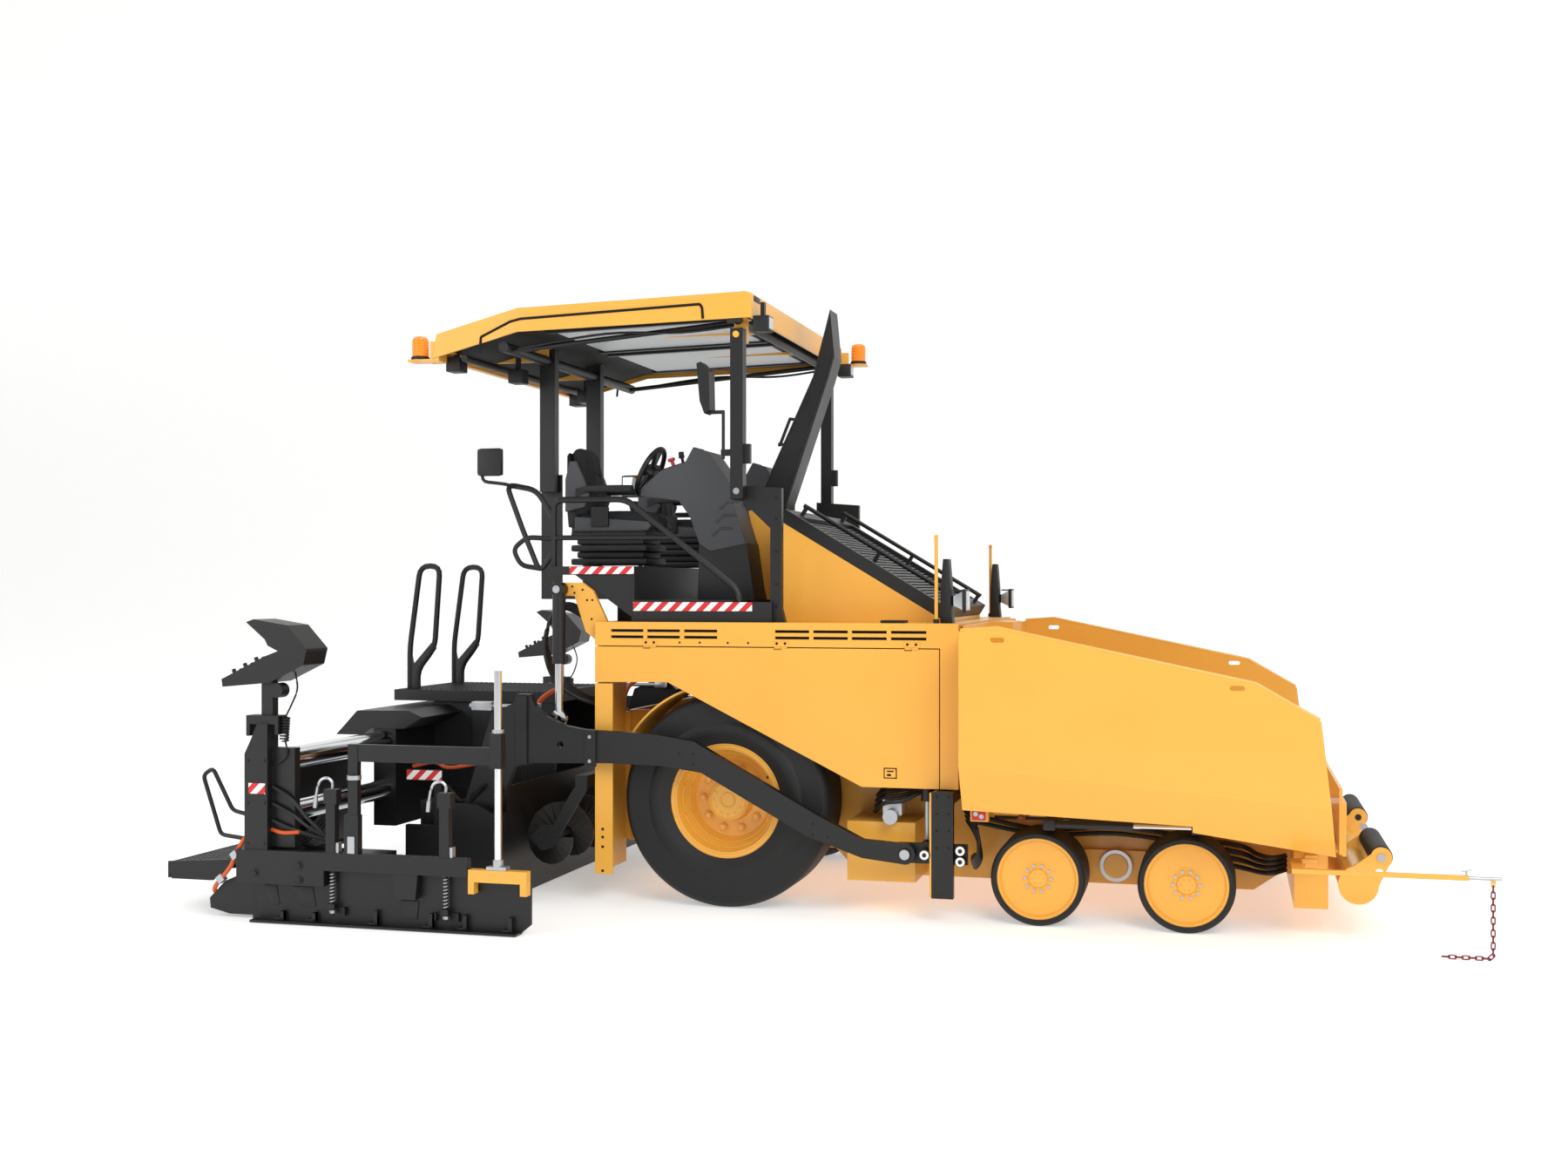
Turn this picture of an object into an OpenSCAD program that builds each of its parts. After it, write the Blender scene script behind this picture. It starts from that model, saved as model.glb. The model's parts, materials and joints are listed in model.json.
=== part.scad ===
// Wheeled asphalt paver with an extending screed, parked with the screed on the ground.
// Millimetres. Z = 0 is the ground, +X is the way it drives, +Y is its left side.
// Places along X are measured from the drive axle; place() moves the machine onto its own middle.

/* [Running gear] */
// Outside radius of a drive tyre, which is also the height of the drive axle
drive_tyre_r = 660; // [620:1:690]
// Width of a drive tyre
drive_tyre_w = 445; // [400:1:460]
// Radius of the drive rim's flange
drive_rim_r = 355; // [330:1:380]
// Width over the drive tyres and the body sides
body_width = 2500; // [2480:1:2520]
// Outside radius of a solid front wheel
front_wheel_r = 275; // [260:1:285]
// Width of a front wheel
front_wheel_w = 356; // [320:1:370]
// Radius of the steel disc inside a front tyre
front_disc_r = 238; // [225:1:245]
// Drive axle to the middle of the front bogie
wheelbase = 2349; // [2330:1:2370]
// Distance between the two front wheels of a bogie
bogie_pitch = 846; // [820:1:870]
// Distance of a steering kingpin from the middle plane
kingpin_y = 810; // [805:1:815]

/* [Frame and body] */
// Half the distance over the frame's two side plates
frame_half = 730; // [720:1:740]
// Thickness of the frame's plates
plate_t = 30; // [20:1:35]
// Height of the underside of the frame
frame_bottom = 180; // [165:1:200]
// Height of the conveyor floor
conveyor_z = 440; // [430:1:450]
// Height of the top of the deck
deck_z = 1765; // [1755:1:1775]
// Height of the lower edge of the vent strip along the deck
vent_strip_z = 1617; // [1600:1:1630]
// Rear edge of the body, behind the drive axle
body_rear = 826; // [820:1:832]
// Front edge of the body, ahead of the drive axle
body_front = 1461; // [1455:1:1466]
// Gap between the body's front and the hopper's back wall
hopper_gap = 58; // [54:1:62]
// Lower edge of the side door at its front
door_bottom = 783; // [770:1:800]
// Thickness of a side door
door_t = 35; // [25:1:40]

/* [Hood and operator station] */
// Height of the hood's rear edge
hood_top = 2405; // [2380:1:2430]
// Half width of the hood
hood_half = 850; // [800:1:880]
// Height of the platform floor
platform_z = 1900; // [1890:1:1910]
// Height of the seat stand
seat_stand_z = 2113; // [2100:1:2125]
// Distance of a seat from the middle plane
seat_y = 700; // [660:1:740]

/* [Canopy] */
// Height of the roof at its front edge
roof_z = 3790; // [3770:1:3800]
// Half width of the roof
roof_half = 1250; // [1200:1:1260]
// Height of the fold pivots of the front posts
fold_z = 2570; // [2540:1:2600]
// Depth of the fold pivots under the roof's front edge
roof_drop = 260; // [255:1:270]
// Thickness of the roof's sheet
roof_t = 15; // [10:1:20]

/* [Hopper] */
// Distance of a lowered wing's outer wall from the middle plane
wing_half = 1630; // [1610:1:1640]
// Distance of a wing's pivot from the middle plane
wing_pivot_y = 560; // [550:1:570]
// Height of a wing's pivot
wing_pivot_z = 600; // [590:1:610]
// Thickness of a wing's plates
wing_t = 18; // [12:1:20]

/* [Pusher and guide bar] */
// Height of the push rollers' axis
push_roller_z = 478; // [470:1:486]
// Radius of a push roller
push_roller_r = 62; // [55:1:68]
// Length of the guide rod ahead of the push rollers' axis
guide_reach = 574; // [540:1:600]
// Distance of the guide bar from the middle plane
guide_y = 1570; // [1540:1:1600]

/* [Screed] */
// Half width of the main screed
screed_half = 1440; // [1430:1:1445]
// Outer face of an end gate, from the middle plane
gate_face = 2315; // [2300:1:2330]
// Rear edge of an extension's footplate, behind the drive axle
rear_reach = 3290; // [3270:1:3320]
// Height of the tow pins
tow_pin_z = 404; // [400:1:410]
// Distance of the tow pins ahead of the drive axle
tow_pin_x = 1159; // [1150:1:1165]
// Radius of an auger's flight
auger_r = 190; // [170:1:195]
// Radius of an upper extension tube
tube_r = 70; // [64:1:72]

/* [Clearances] */
// Gap between a turning or sliding face and its seat
run_gap = 0.3; // [0.2:0.05:0.5]

/* [Hidden] */
yellow = "#f2ab27";
black = "#26272a";
steel = "#b9bcc0";
rubber = "#1b1b1c";
grey = "#5c5d61";
side = body_width / 2;
wheel_face = side - 50;
wheel_mid = wheel_face - drive_tyre_w / 2;
front_inner = side - front_wheel_w;
lead_x = wheelbase + bogie_pitch / 2;
trail_x = wheelbase - bogie_pitch / 2;
spindle_r = 110;
stub_r = 40;
pin_r = 20;
frame_front = lead_x + 592;
frame_rear = -790;
frame_in = frame_half - plate_t;
hopper_rear = body_front + hopper_gap;
door_y = side - door_t;
door_hinges = [-505, 335, 1140];
hinge_r = 7;
hinge_z = vent_strip_z - 3;
hood_foot = 1290;
hood_rear = 257;
hood_slope = atan2(hood_top - deck_z - 20, hood_foot - hood_rear);
arm_in = 1290;
arm_out = 1350;
guide_rear = 1315;
guide_front = 1443;
tube_z = 960;
tube_low_z = 645;
tube_step = 150;
tube_x = -2410;
tube_low_r = tube_r - 5;
auger_x = -1190;
auger_z = 400;
lift_x = -1070;
lift_top = 1968;
lift_eye = 1157;
lift_y = 1243;
lift_r = 42;
post_x = 90;
rear_post_x = -1475;
fold_link = roof_z - roof_drop - fold_z;
rear_fold_z = fold_z + 110;
beam_front = frame_front + 185;
pusher_x = beam_front + 155;
pusher_z = push_roller_z - 158;
roller_x = pusher_x + 122;
apron_x = beam_front + 51;
apron_z = push_roller_z + 22;
apron_lugs = [-915, -15, 885];
wing_front = apron_x - 27;
wing_drop = 180;
wing_crease = 960;
wing_step = lead_x + 39;
wing_lugs = [hopper_rear + 231, (hopper_rear + frame_front) / 2, frame_front - 164];
guide_tip = roller_x + guide_reach;
axle_shift = (rear_reach - guide_tip) / 2;
eye_x = guide_tip - 43;
eye_z = 404;
plate_out = gate_face - 70;
plate_in = plate_out - 20;
beam_in = plate_out + 10;
beam_out = gate_face - 5;
gate_rods = [-2064, -1340];
rod_line = gate_face - 35;
post_y = (beam_in + beam_out) / 2;
grade_x = -1015;
grade_r = 22;

// Moves the machine so that its box is centred on the origin.
module place() translate([axle_shift, 0, 0]) children();

// Draws its children on the left and, mirrored, on the right.
module both() {
    children();
    mirror([0, 1, 0]) children();
}

// Extrudes an outline of X and Z values across Y.
module across(points, y0, y1) translate([0, y1, 0]) rotate([90, 0, 0]) linear_extrude(y1 - y0) polygon(points);

// Extrudes an outline of Y and Z values along X.
module along(points, x0, x1) translate([x0, 0, 0]) rotate([90, 0, 90]) linear_extrude(x1 - x0) polygon(points);

// Extrudes an outline of Y and Z values along X while it sinks by a drop.
module slanted(points, x0, x1, drop) {
    n = len(points);
    sides = [for (i = [0:n - 1]) [i, i + n, (i + 1) % n + n, (i + 1) % n]];
    polyhedron(concat([for (p = points) [x0, p[0], p[1]]], [for (p = points) [x1, p[0], p[1] - drop]]),
        concat(sides, [[for (i = [0:n - 1]) i], [for (i = [n - 1:-1:0]) i + n]]));
}

// A box between two corners.
module block(a, b) translate(a) cube(b - a);

// A round bar across the machine.
module rod_y(x, z, r, y0, y1) translate([x, y0, z]) rotate([-90, 0, 0]) cylinder(r = r, h = y1 - y0);

// A round bar along the machine.
module rod_x(y, z, r, x0, x1) translate([x0, y, z]) rotate([0, 90, 0]) cylinder(r = r, h = x1 - x0);

// An upright round bar.
module rod_z(x, y, r, z0, z1) translate([x, y, z0]) cylinder(r = r, h = z1 - z0);

// Turns a profile of radius and Y values about an axle across the machine.
module turned(x, z, points) translate([x, 0, z]) rotate([-90, 0, 0]) rotate_extrude() polygon(points);

function unit(v) = v / norm(v);
function arc(c, r, a0, a1, n) = [for (i = [0:n]) c + r * [cos(a0 + (a1 - a0) * i / n),
    sin(a0 + (a1 - a0) * i / n)]];
function bend(a, b, c, r, n) = let(
    p = b + unit(a - b) * r,
    q = b + unit(c - b) * r
) [for (i = [0:n]) let(t = i / n) p * pow(1 - t, 2) + b * 2 * t * (1 - t) + q * pow(t, 2)];
function route(p, r, n) = [
    p[0],
    each [for (i = [1:len(p) - 2]) each bend(p[i - 1], p[i], p[i + 1], r, n)],
    p[len(p) - 1]
];
function ring(p, t, normal, r, sides) = let(u = unit(cross(normal, t)), v = cross(t, u))
    [for (k = [0:sides - 1]) p + r * (cos(360 * k / sides) * u + sin(360 * k / sides) * v)];

// A bent tube through the points of p, whose bends lie in or near the plane with this normal.
module tube(p, r, normal = [0, 1, 0], sides = 8) {
    n = len(p);
    points = [for (i = [0:n - 1]) each ring(p[i], unit(p[min(i + 1, n - 1)] - p[max(i - 1, 0)]), normal, r,
        sides)];
    walls = [for (i = [0:n - 2], k = [0:sides - 1]) let(a = i * sides + k, b = i * sides + (k + 1) % sides)
        each [[a, b + sides, b], [a, a + sides, b + sides]]];
    caps = [[for (k = [0:sides - 1]) k], [for (k = [sides - 1:-1:0]) (n - 1) * sides + k]];
    polyhedron(points, concat(walls, caps));
}

// A closed chain link in the plane with this normal.
module link(p, r, normal, sides = 6) {
    n = len(p);
    points = [for (i = [0:n - 1]) each ring(p[i], unit(p[(i + 1) % n] - p[(i + n - 1) % n]), normal, r, sides)];
    walls = [for (i = [0:n - 1], k = [0:sides - 1]) let(
        j = (i + 1) % n,
        a = i * sides + k,
        b = i * sides + (k + 1) % sides,
        c = j * sides + k,
        d = j * sides + (k + 1) % sides
    ) each [[a, d, b], [a, c, d]]];
    polyhedron(points, walls);
}

// Welded frame: side plates, tunnel floor and roof, hopper back wall and the tanks beside the tunnel.
module chassis() color(yellow) {
    wall = hopper_rear - 14;
    both() across([[frame_rear, 330], [600, 330], [750, frame_bottom], [frame_front - 214, frame_bottom],
        [frame_front, 330],
        [frame_front, 540], [wall, 540], [wall, 1180], [frame_rear, 1180]], frame_in, frame_half);
    block([frame_rear, -frame_in, conveyor_z - 25], [frame_front, frame_in, conveyor_z - 5]);
    block([frame_rear, -frame_in, 860], [wall, frame_in, 880]);
    block([frame_rear, -15, conveyor_z - 5], [wall, 15, 860]);
    block([frame_rear, -frame_in, 880], [frame_rear + 25, frame_in, 1180]);
    block([wall - 25, -1200, 880], [wall, 1200, deck_z - 10]);
    both() block([760, frame_half - 1, 200], [1180, 1120, 560]);
    both() block([frame_front - 25, frame_in - 60, frame_bottom + 100], [frame_front, frame_in, 540]);
    block([wall - 5, -225, 1500], [wall + 155, 225, deck_z - 8]);
    both() for (x = wing_lugs) difference() {
        union() {
            along([[frame_in + 5, 480], [frame_in + 5, 560], [wing_pivot_y + 20, wing_pivot_z],
                [wing_pivot_y - 40, wing_pivot_z - 25]], x, x + 30);
            rod_x(wing_pivot_y, wing_pivot_z, 46, x, x + 30);
        }
        rod_x(wing_pivot_y, wing_pivot_z, 30 + run_gap, x - 5, x + 35);
    }
}

// Final drive housings of the drive wheels, and the bogie beams with their pivots and kingpin bosses.
module axles() color(yellow) both() {
    rod_y(0, drive_tyre_r, 210, frame_half, frame_half + 40);
    rod_y(0, drive_tyre_r, spindle_r, frame_half, wheel_face - 160);
    difference() {
        union() {
            across([[trail_x - 70, 215], [lead_x + 70, 215], [lead_x + 70, 335], [lead_x - 80, 335],
                [wheelbase + 170, 390],
                [wheelbase - 170, 390], [trail_x + 80, 335], [trail_x - 70, 335]], frame_half, frame_half + 45);
            rod_y(wheelbase, 300, 95, frame_half + 40, frame_half + 75);
            for (x = [trail_x, lead_x]) {
                block([x - 35, frame_half + 40, 205], [x + 35, kingpin_y, 345]);
                rod_z(x, kingpin_y, 45, 205, 345);
            }
        }
        for (x = [trail_x, lead_x]) rod_z(x, kingpin_y, pin_r + run_gap, 200, 350);
        rod_y(wheelbase, 300, 70, frame_half + 60, frame_half + 80);
    }
}

// Diesel engine as one block of its real size.
module engine_block() color(grey) block([-50, -480, 880], [1150, 480, 1640]);

// Deck, vent strips, rear guards, mudguards and the arms that carry the lift cylinders.
module body_shell() color(yellow) {
    block([-body_rear, -side, deck_z - 20], [body_front, side, deck_z]);
    both() difference() {
        block([-body_rear, side - 20, vent_strip_z], [body_front, side, deck_z]);
        for (x = [-721, -483, -242, 339, 578, 816, 1056], z = [1664, 1703])
            block([x, side - 30, z], [x + 214, side + 10, z + 17]);
        for (x = door_hinges) rod_x(side, hinge_z, hinge_r / 2 + run_gap, x + 15, x + 45);
        for (x = door_hinges) block([x + 41, side - 12, vent_strip_z - 5], [x + 84, side + 10,
            vent_strip_z + 8]);
    }
    both() for (x = door_hinges) difference() {
        rod_x(side, hinge_z, hinge_r, x, x + 40);
        rod_x(side, hinge_z, hinge_r / 2 + run_gap, x + 15, x + 45);
    }
    both() block([1352, side - 20, door_bottom], [body_front, side, vent_strip_z + 1]);
    both() block([body_front - 20, frame_half, door_bottom], [body_front, side, deck_z]);
    both() block([-body_rear, frame_half + 5, 190], [20 - body_rear, side, 1380]);
    both() block([-body_rear, frame_half + 5, 1370], [20 - body_rear, door_y - 10, deck_z - 5]);
    both() block([-body_rear, side - 15, 190], [-710, side, 1380]);
    both() block([-body_rear, frame_half, 340], [-770, frame_half + 20, 1170]);
    both() translate([0, 0, drive_tyre_r]) rotate([90, 0, 0]) translate([0, 0, -1190])
        rotate_extrude(angle = 130, start = 30) polygon([[720, 0], [732, 0], [732, 390], [720, 390]]);
    both() block([-300, 800, 1350], [300, 815, deck_z - 5]);
    both() difference() {
        across([[-body_rear, 1640], [-body_rear + 60, deck_z - 1], [-860, 1960], [-930, 2010], [-1130, 2010],
            [-1130, 1930], [-985, 1925], [-910, 1700]], 1165, 1195);
        rod_y(lift_x, lift_top, 30 + run_gap, 1150, 1210);
    }
}

// Side panels and rear wall of the hood, and the cowls between the hood and the consoles.
module hood() color(yellow) {
    both() across([[hood_rear, deck_z], [hood_foot, deck_z], [hood_foot, deck_z + 20], [hood_rear, hood_top]],
        hood_half - 20, hood_half);
    block([hood_rear, -hood_half, deck_z], [hood_rear + 20, hood_half, hood_top - 15]);
    block([hood_foot - 20, -hood_half, deck_z], [hood_foot, hood_half, deck_z + 20]);
    both() across([[95, platform_z], [hood_rear + 1, platform_z], [hood_rear + 1, hood_top - 5], [60,
        hood_top + 92],
        [-30, hood_top + 75]], 400, seat_y - 155);
}

// Sloping radiator grille on the hood, with its two grab rails.
module hood_grille() color(black) translate([hood_rear, 0, hood_top]) rotate([0, hood_slope, 0]) {
    length = (hood_foot - hood_rear) / cos(hood_slope);
    difference() {
        block([0, -hood_half, 1], [length, hood_half, 81]);
        block([90, 60 - hood_half, 0], [length - 90, hood_half - 60, 90]);
    }
    for (x = [100:36:length - 110]) block([x, 50 - hood_half, 30], [x + 20, hood_half - 50, 55]);
    for (y = [-580, 580]) {
        for (x = [40, length / 2, length - 60]) block([x, y - 12, 35], [x + 24, y + 12, 140]);
        rod_x(y, 140, 14, 30, length - 30);
    }
}

// Leaning fume stack ahead of the canopy, on its box between the platform and the hood.
module vent_stack() color(black) {
    across([[-165, 2290], [40, 2290], [85, 2450], [402, 3381], [446, 3531], [416, 3850], [300, 3406],
        [-140, 2450]], -110, 110);
    block([-170, -190, platform_z], [hood_rear, 190, 2300]);
    for (z = [2950, 3120]) across([[0.456 * (z - 2716) - 80, z], [0.456 * (z - 2716) + 40, z - 10],
        [0.456 * (z - 2716) + 40, z + 10], [0.456 * (z - 2716) - 80, z + 20]], -8, 8);
    across([[26, 2945], [46, 2945], [124, 3140], [104, 3140]], -8, 8);
}

// Platform floor, its skirts, the seat stand and the brackets under the canopy posts.
module platform() color(black) {
    block([-600, -1180, platform_z - 20], [55, 1180, platform_z]);
    both() block([-600, 1140, deck_z], [300, 1180, platform_z - 10]);
    block([-610, -1180, deck_z], [-590, 1180, seat_stand_z]);
    block([-1050, -1180, seat_stand_z - 53], [-590, 1180, seat_stand_z]);
    both() block([-1175, 1100, seat_stand_z - 53], [-1040, 1180, seat_stand_z]);
    both() across([[-1040, seat_stand_z - 20], [-600, deck_z + 20], [-590, deck_z + 20], [-590,
        seat_stand_z - 20]], 1140, 1170);
    both() block([-800, 900, deck_z], [-620, 920, seat_stand_z - 40]);
    both() difference() {
        across([[post_x + 165, deck_z], [post_x + 285, deck_z], [post_x + 263, deck_z + 85], [post_x + 263,
            fold_z + 20],
            [post_x - 60, fold_z + 45], [post_x - 60, fold_z - 50], [post_x + 15, fold_z - 60],
                [post_x + 192, fold_z - 227],
            [post_x + 192, deck_z + 85]], 1100, 1149);
        rod_y(post_x, fold_z, 29 + run_gap, 1050, 1190);
    }
    both() difference() {
        block([rear_post_x - 75, 375, 1960], [rear_post_x + 75, 390, rear_fold_z + 70]);
        rod_y(rear_post_x, rear_fold_z, pin_r + run_gap, 370, 400);
    }
    block([rear_post_x - 75, -390, 1900], [-1040, 390, 1965]);
    block([-1060, -390, 1940], [-1040, 390, seat_stand_z]);
}

// Handrails at both sides and rear ladder rails with their mirrors.
module handrails() color(black) both() {
    tube(route([[-1143, 1150, seat_stand_z], [-1143, 1150, 2535], [-660, 1150, 2535], [85, 1150, 1960],
        [85, 1150, platform_z - 10]],
        60, 4), 20);
    tube(route([[-1150, 1150, 2200], [-1240, 1150, 2075], [-1361, 1150, 2358], [-1470, 1150, 2640], [-1263,
        1150, 2600],
        [-1150, 1150, 2430]], 60, 4), 18);
    tube([[-1135, 1150, 2295], [-365, 1150, 2292]], 16);
    tube(route([[-1150, 1150, 2290], [-1330, 1150, 2300], [-1425, 1150, 2225], [-1370, 1150, 2120], [-1235,
        1150, 2100]], 45, 4), 16);
    tube(route([[-1400, 1150, 2618], [-1440, 1230, 2637], [-1565, 1305, 2650], [-1565, 1310, 2760]], 35,
        3), 11, [0.3, 1, 0]);
    block([-1585, 1290, 2690], [-1430, 1330, 2852]);
}

// Two operator seats on their bellows, with armrests.
module seats() color(rubber) both() translate([0, seat_y, 0]) {
    for (z = [0, 55, 110, 165]) block([-1110 + z / 8, -190, seat_stand_z + z], [-620 - z / 8, 190,
        seat_stand_z + z + 40]);
    block([-1080, -160, seat_stand_z], [-650, 160, seat_stand_z + 235]);
    across([[-1120, seat_stand_z + 230], [-600, seat_stand_z + 230], [-575, seat_stand_z + 270], [-590,
        seat_stand_z + 320],
        [-1130, seat_stand_z + 340]], -230, 230);
    across([[-1140, 2440], [-1000, 2440], [-880, 2631], [-957, 2818], [-1034, 2912], [-1144, 2912], [-1167,
        2822], [-1167, 2560]],
        -120, 120);
    across([[-1150, 2440], [-990, 2440], [-1020, 2640], [-1040, 2880], [-1060, 2912], [-1130, 2912],
        [-1167, 2822], [-1167, 2560]],
        -230, 230);
    for (y = [-230, 180]) block([-1040, y, 2590], [-700, y + 50, 2640]);
}

// Two control consoles with their steering wheels.
module consoles() color(grey) both() translate([0, seat_y, 0]) {
    across([[-280, platform_z], [90, platform_z], [37, 2261], [-27, 2460], [-69, 2542], [-69, 2644], [-218,
        2851], [-315, 2878],
        [-369, 2782], [-531, 2734], [-662, 2623], [-672, 2571], [-412, 2537], [-336, 2433], [-272, 2259]],
            -140, 140);
    translate([-650, 0, 2735]) rotate([0, -63, 0]) {
        rotate_extrude() translate([165, 0]) circle(r = 14);
        block([-165, -14, -10], [165, 14, 10]);
        rod_z(0, 0, 25, -120, 10);
    }
}

// Deck headlamps on their brackets and the marker poles.
module deck_lamps() color(black) both() {
    block([1340, 1050, deck_z], [1400, 1150, 2150]);
    block([1399, 1030, 1840], [1480, 1170, 1960]);
    rod_z(1320, 1195, 10, deck_z, 2290);
}

// Upright guides of the tow points and the barrels of their cylinders.
module tow_guides() color(black) both() {
    block([guide_rear, arm_in, 150], [guide_front, arm_in + 50, 775]);
    block([guide_rear + 20, frame_half, 690], [guide_front - 20, arm_in + 10, 775]);
    difference() {
        union() {
            rod_z(1260, 1150, 40, 700, 1250);
            block([1270, 1120, 1150], [body_front - 20, 1180, 1250]);
        }
        rod_z(1260, 1150, 18 + run_gap, 690, 1200);
    }
}

// Auger gearbox, its beam and the outer bearing hangers.
module auger_frame() color(black) difference() {
    union() {
        block([-1260, -45, 320], [-1120, 45, 800]);
        block([-1130, -45, 700], [frame_rear, 45, 800]);
        block([-960, -1250, 720], [-880, 1250, 800]);
        both() across([[-970, 720], [-880, 720], [-1110, 340], [-1190, 320], [-1270, 400], [-1190, 480],
            [-1110, 480]],
            1235, 1250);
    }
    rod_y(auger_x, auger_z, pin_r + run_gap, -1300, 1300);
}

// Slat conveyors: the chain strands and flight bars of both lanes.
module conveyor() color(steel) both() {
    for (y = [60, 640]) block([frame_rear + 20, y, conveyor_z - 5], [frame_front - 60, y + 40,
        conveyor_z + 20]);
    for (x = [frame_rear + 60:300:frame_front - 120]) block([x, 70, conveyor_z], [x + 40, 670,
        conveyor_z + 30]);
}

// Front cross beam, pusher tube and the plates that carry the rollers.
module pusher_frame() color(yellow) {
    block([frame_front, -1150, 160], [beam_front, 1150, 480]);
    block([beam_front - 9, -400, pusher_z - 70], [pusher_x - 44, 400, pusher_z + 70]);
    rod_y(pusher_x, pusher_z, 100, -1240, 1240);
    for (y = apron_lugs) difference() {
        union() {
            block([beam_front - 9, y, apron_z - 70], [apron_x, y + 30, apron_z + 14]);
            rod_y(apron_x, apron_z, 26, y, y + 30);
        }
        rod_y(apron_x, apron_z, 14 + run_gap, y - 5, y + 35);
    }
    both() for (y = [452, 1232]) difference() {
        union() {
            rod_y(pusher_x, pusher_z, 108, y, y + 18);
            rod_y(roller_x, push_roller_z, 57, y, y + 18);
            across([[pusher_x - 40, pusher_z + 95], [roller_x - 50, push_roller_z + 20], [roller_x + 50,
                push_roller_z - 20],
                [pusher_x + 95, pusher_z - 30]], y, y + 18);
        }
        rod_y(roller_x, push_roller_z, pin_r + run_gap, y - 5, y + 25);
        if (y > 1000) rod_y(roller_x - 12, push_roller_z - 84, 22, y - 5, y + 25);
    }
}

// Guide bar for the lorry driver: bracket, square bar and steel rod.
module guide_bar() color(yellow) mirror([0, 1, 0]) {
    block([beam_front - 129, 1150, 400], [beam_front - 59, 1210, 470]);
    block([beam_front - 213, 1200, 424], [beam_front - 149, guide_y + 13, 450]);
    block([beam_front - 209, guide_y - 13, 424], [guide_tip - 164, guide_y + 13, 450]);
    block([beam_front - 149, 1200, 424], [beam_front - 59, 1215, 450]);
    rod_x(guide_y, 437, 9, guide_tip - 200, guide_tip);
    difference() {
        block([eye_x - 12, guide_y - 2.5, eye_z - 11], [eye_x + 12, guide_y + 2.5, 434]);
        rod_y(eye_x, eye_z, 7, guide_y - 10, guide_y + 10);
    }
}

// Chain that hangs from the guide rod's eye and lies on the ground.
module guide_chain() color("#8e2430") mirror([0, 1, 0]) {
    wire = 3.2;
    bow = 10;
    pitch = 4 * bow - 2 * wire - 3 * run_gap;
    eye = eye_z - 7 + wire + 3 * run_gap - 2 * bow;
    down = 11;
    last = eye - pitch * (down - 1);
    turn = (2 * bow - 2 * wire - run_gap) / sqrt(2);
    half = arc([bow, 0], bow, -90, 90, 4);
    loop = concat(half, [for (p = half) -p]);
    for (i = [0:down - 1]) translate([eye_x, guide_y, eye - pitch * i])
        link([for (p = loop) i % 2 == 0 ? [0, p[1], p[0]] : [p[1], 0, p[0]]], wire, i % 2 == 0 ? [1, 0,
            0] : [0, 1, 0]);
    translate([eye_x - turn, guide_y, last - 2 * bow - turn]) rotate([0, -45, 0])
        link([for (p = loop) [p[0], 0, p[1]]], wire, [0, 1, 0]);
    for (i = [0:6]) translate([eye_x - 2 * (turn + bow) - pitch * i, guide_y, last - 2 * (turn + bow)])
        link([for (p = loop) i % 2 == 0 ? [p[0], p[1], 0] : [p[0], 0, p[1]]], wire, i % 2 == 0 ? [0, 0,
            1] : [0, 1, 0]);
}

// Gull-wing side door with the slanting lower edge over the drive wheel, hinged along its top.
module side_door() color(yellow) {
    difference() {
        across([[-body_rear, vent_strip_z - 6], [1346, vent_strip_z - 6], [1346, door_bottom], [877,
            door_bottom],
            [775, 834], [-350, 1394], [-body_rear, 1388]], door_y, side);
        for (x = door_hinges) block([x - 3, side - 12, hinge_z - 14], [x + 43, side + 10, hinge_z + 14]);
    }
    for (x = door_hinges) {
        rod_x(side, hinge_z, hinge_r, x + 42, x + 82);
        rod_x(side, hinge_z, hinge_r / 2, x + 20, x + 60);
    }
}

// Drive tyre with round shoulders.
module drive_tyre() color(rubber) {
    half = drive_tyre_w / 2;
    lip = drive_rim_r + run_gap;
    right = concat([[lip - 20, half - 50 - run_gap], [lip, half - 50 - run_gap], [lip, half - 32]],
        arc([drive_rim_r + 90, half - 95], 95, 115, 60, 4),
        arc([drive_tyre_r - 70, half - 75], 70, 65, 5, 5));
    left = [for (i = [len(right) - 1:-1:0]) [right[i][0], -right[i][1]]];
    translate([0, wheel_mid, 0]) turned(0, drive_tyre_r, concat(right, left));
}

// Drive rim with its flanges, dished disc, closed hub and ring of nuts.
module drive_rim() color(yellow) {
    bore = spindle_r + run_gap;
    seat = drive_rim_r - 20;
    out = wheel_face - 50;
    in = wheel_face - drive_tyre_w + 50;
    turned(0, drive_tyre_r, [[bore, in + 60], [bore, wheel_face - 158], [0, wheel_face - 158], [0,
        wheel_face - 85], [105, wheel_face - 85],
        [128, wheel_face - 100], [138, wheel_face - 195], [240, wheel_face - 200], [seat - 40, out - 60],
            [seat - 18, out + 15],
        [drive_rim_r, out + 15], [drive_rim_r, out], [seat, out], [seat, in], [drive_rim_r, in],
        [drive_rim_r, in - 15], [seat - 18, in - 15], [seat - 40, wheel_face - 240], [150,
            wheel_face - 235], [150, in + 60]]);
    for (a = [0:36:324]) translate([0, 0, drive_tyre_r]) rotate([0, a, 0]) translate([190, wheel_face - 200, 0])
        rotate([-90, 0, 0]) cylinder(r = 18, h = 30, $fn = 6);
}

// Steering knuckle with its kingpin and stub axle, at a place along X.
module knuckle(x) color(black) {
    for (z = [165, 350]) hull_free_ear(x, z);
    rod_z(x, kingpin_y, pin_r, 190, 360);
    block([x - 60, kingpin_y + 52, 165], [x + 60, kingpin_y + 78, 385]);
    rod_y(x, front_wheel_r, stub_r, kingpin_y + 70, side - 60);
}

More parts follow.
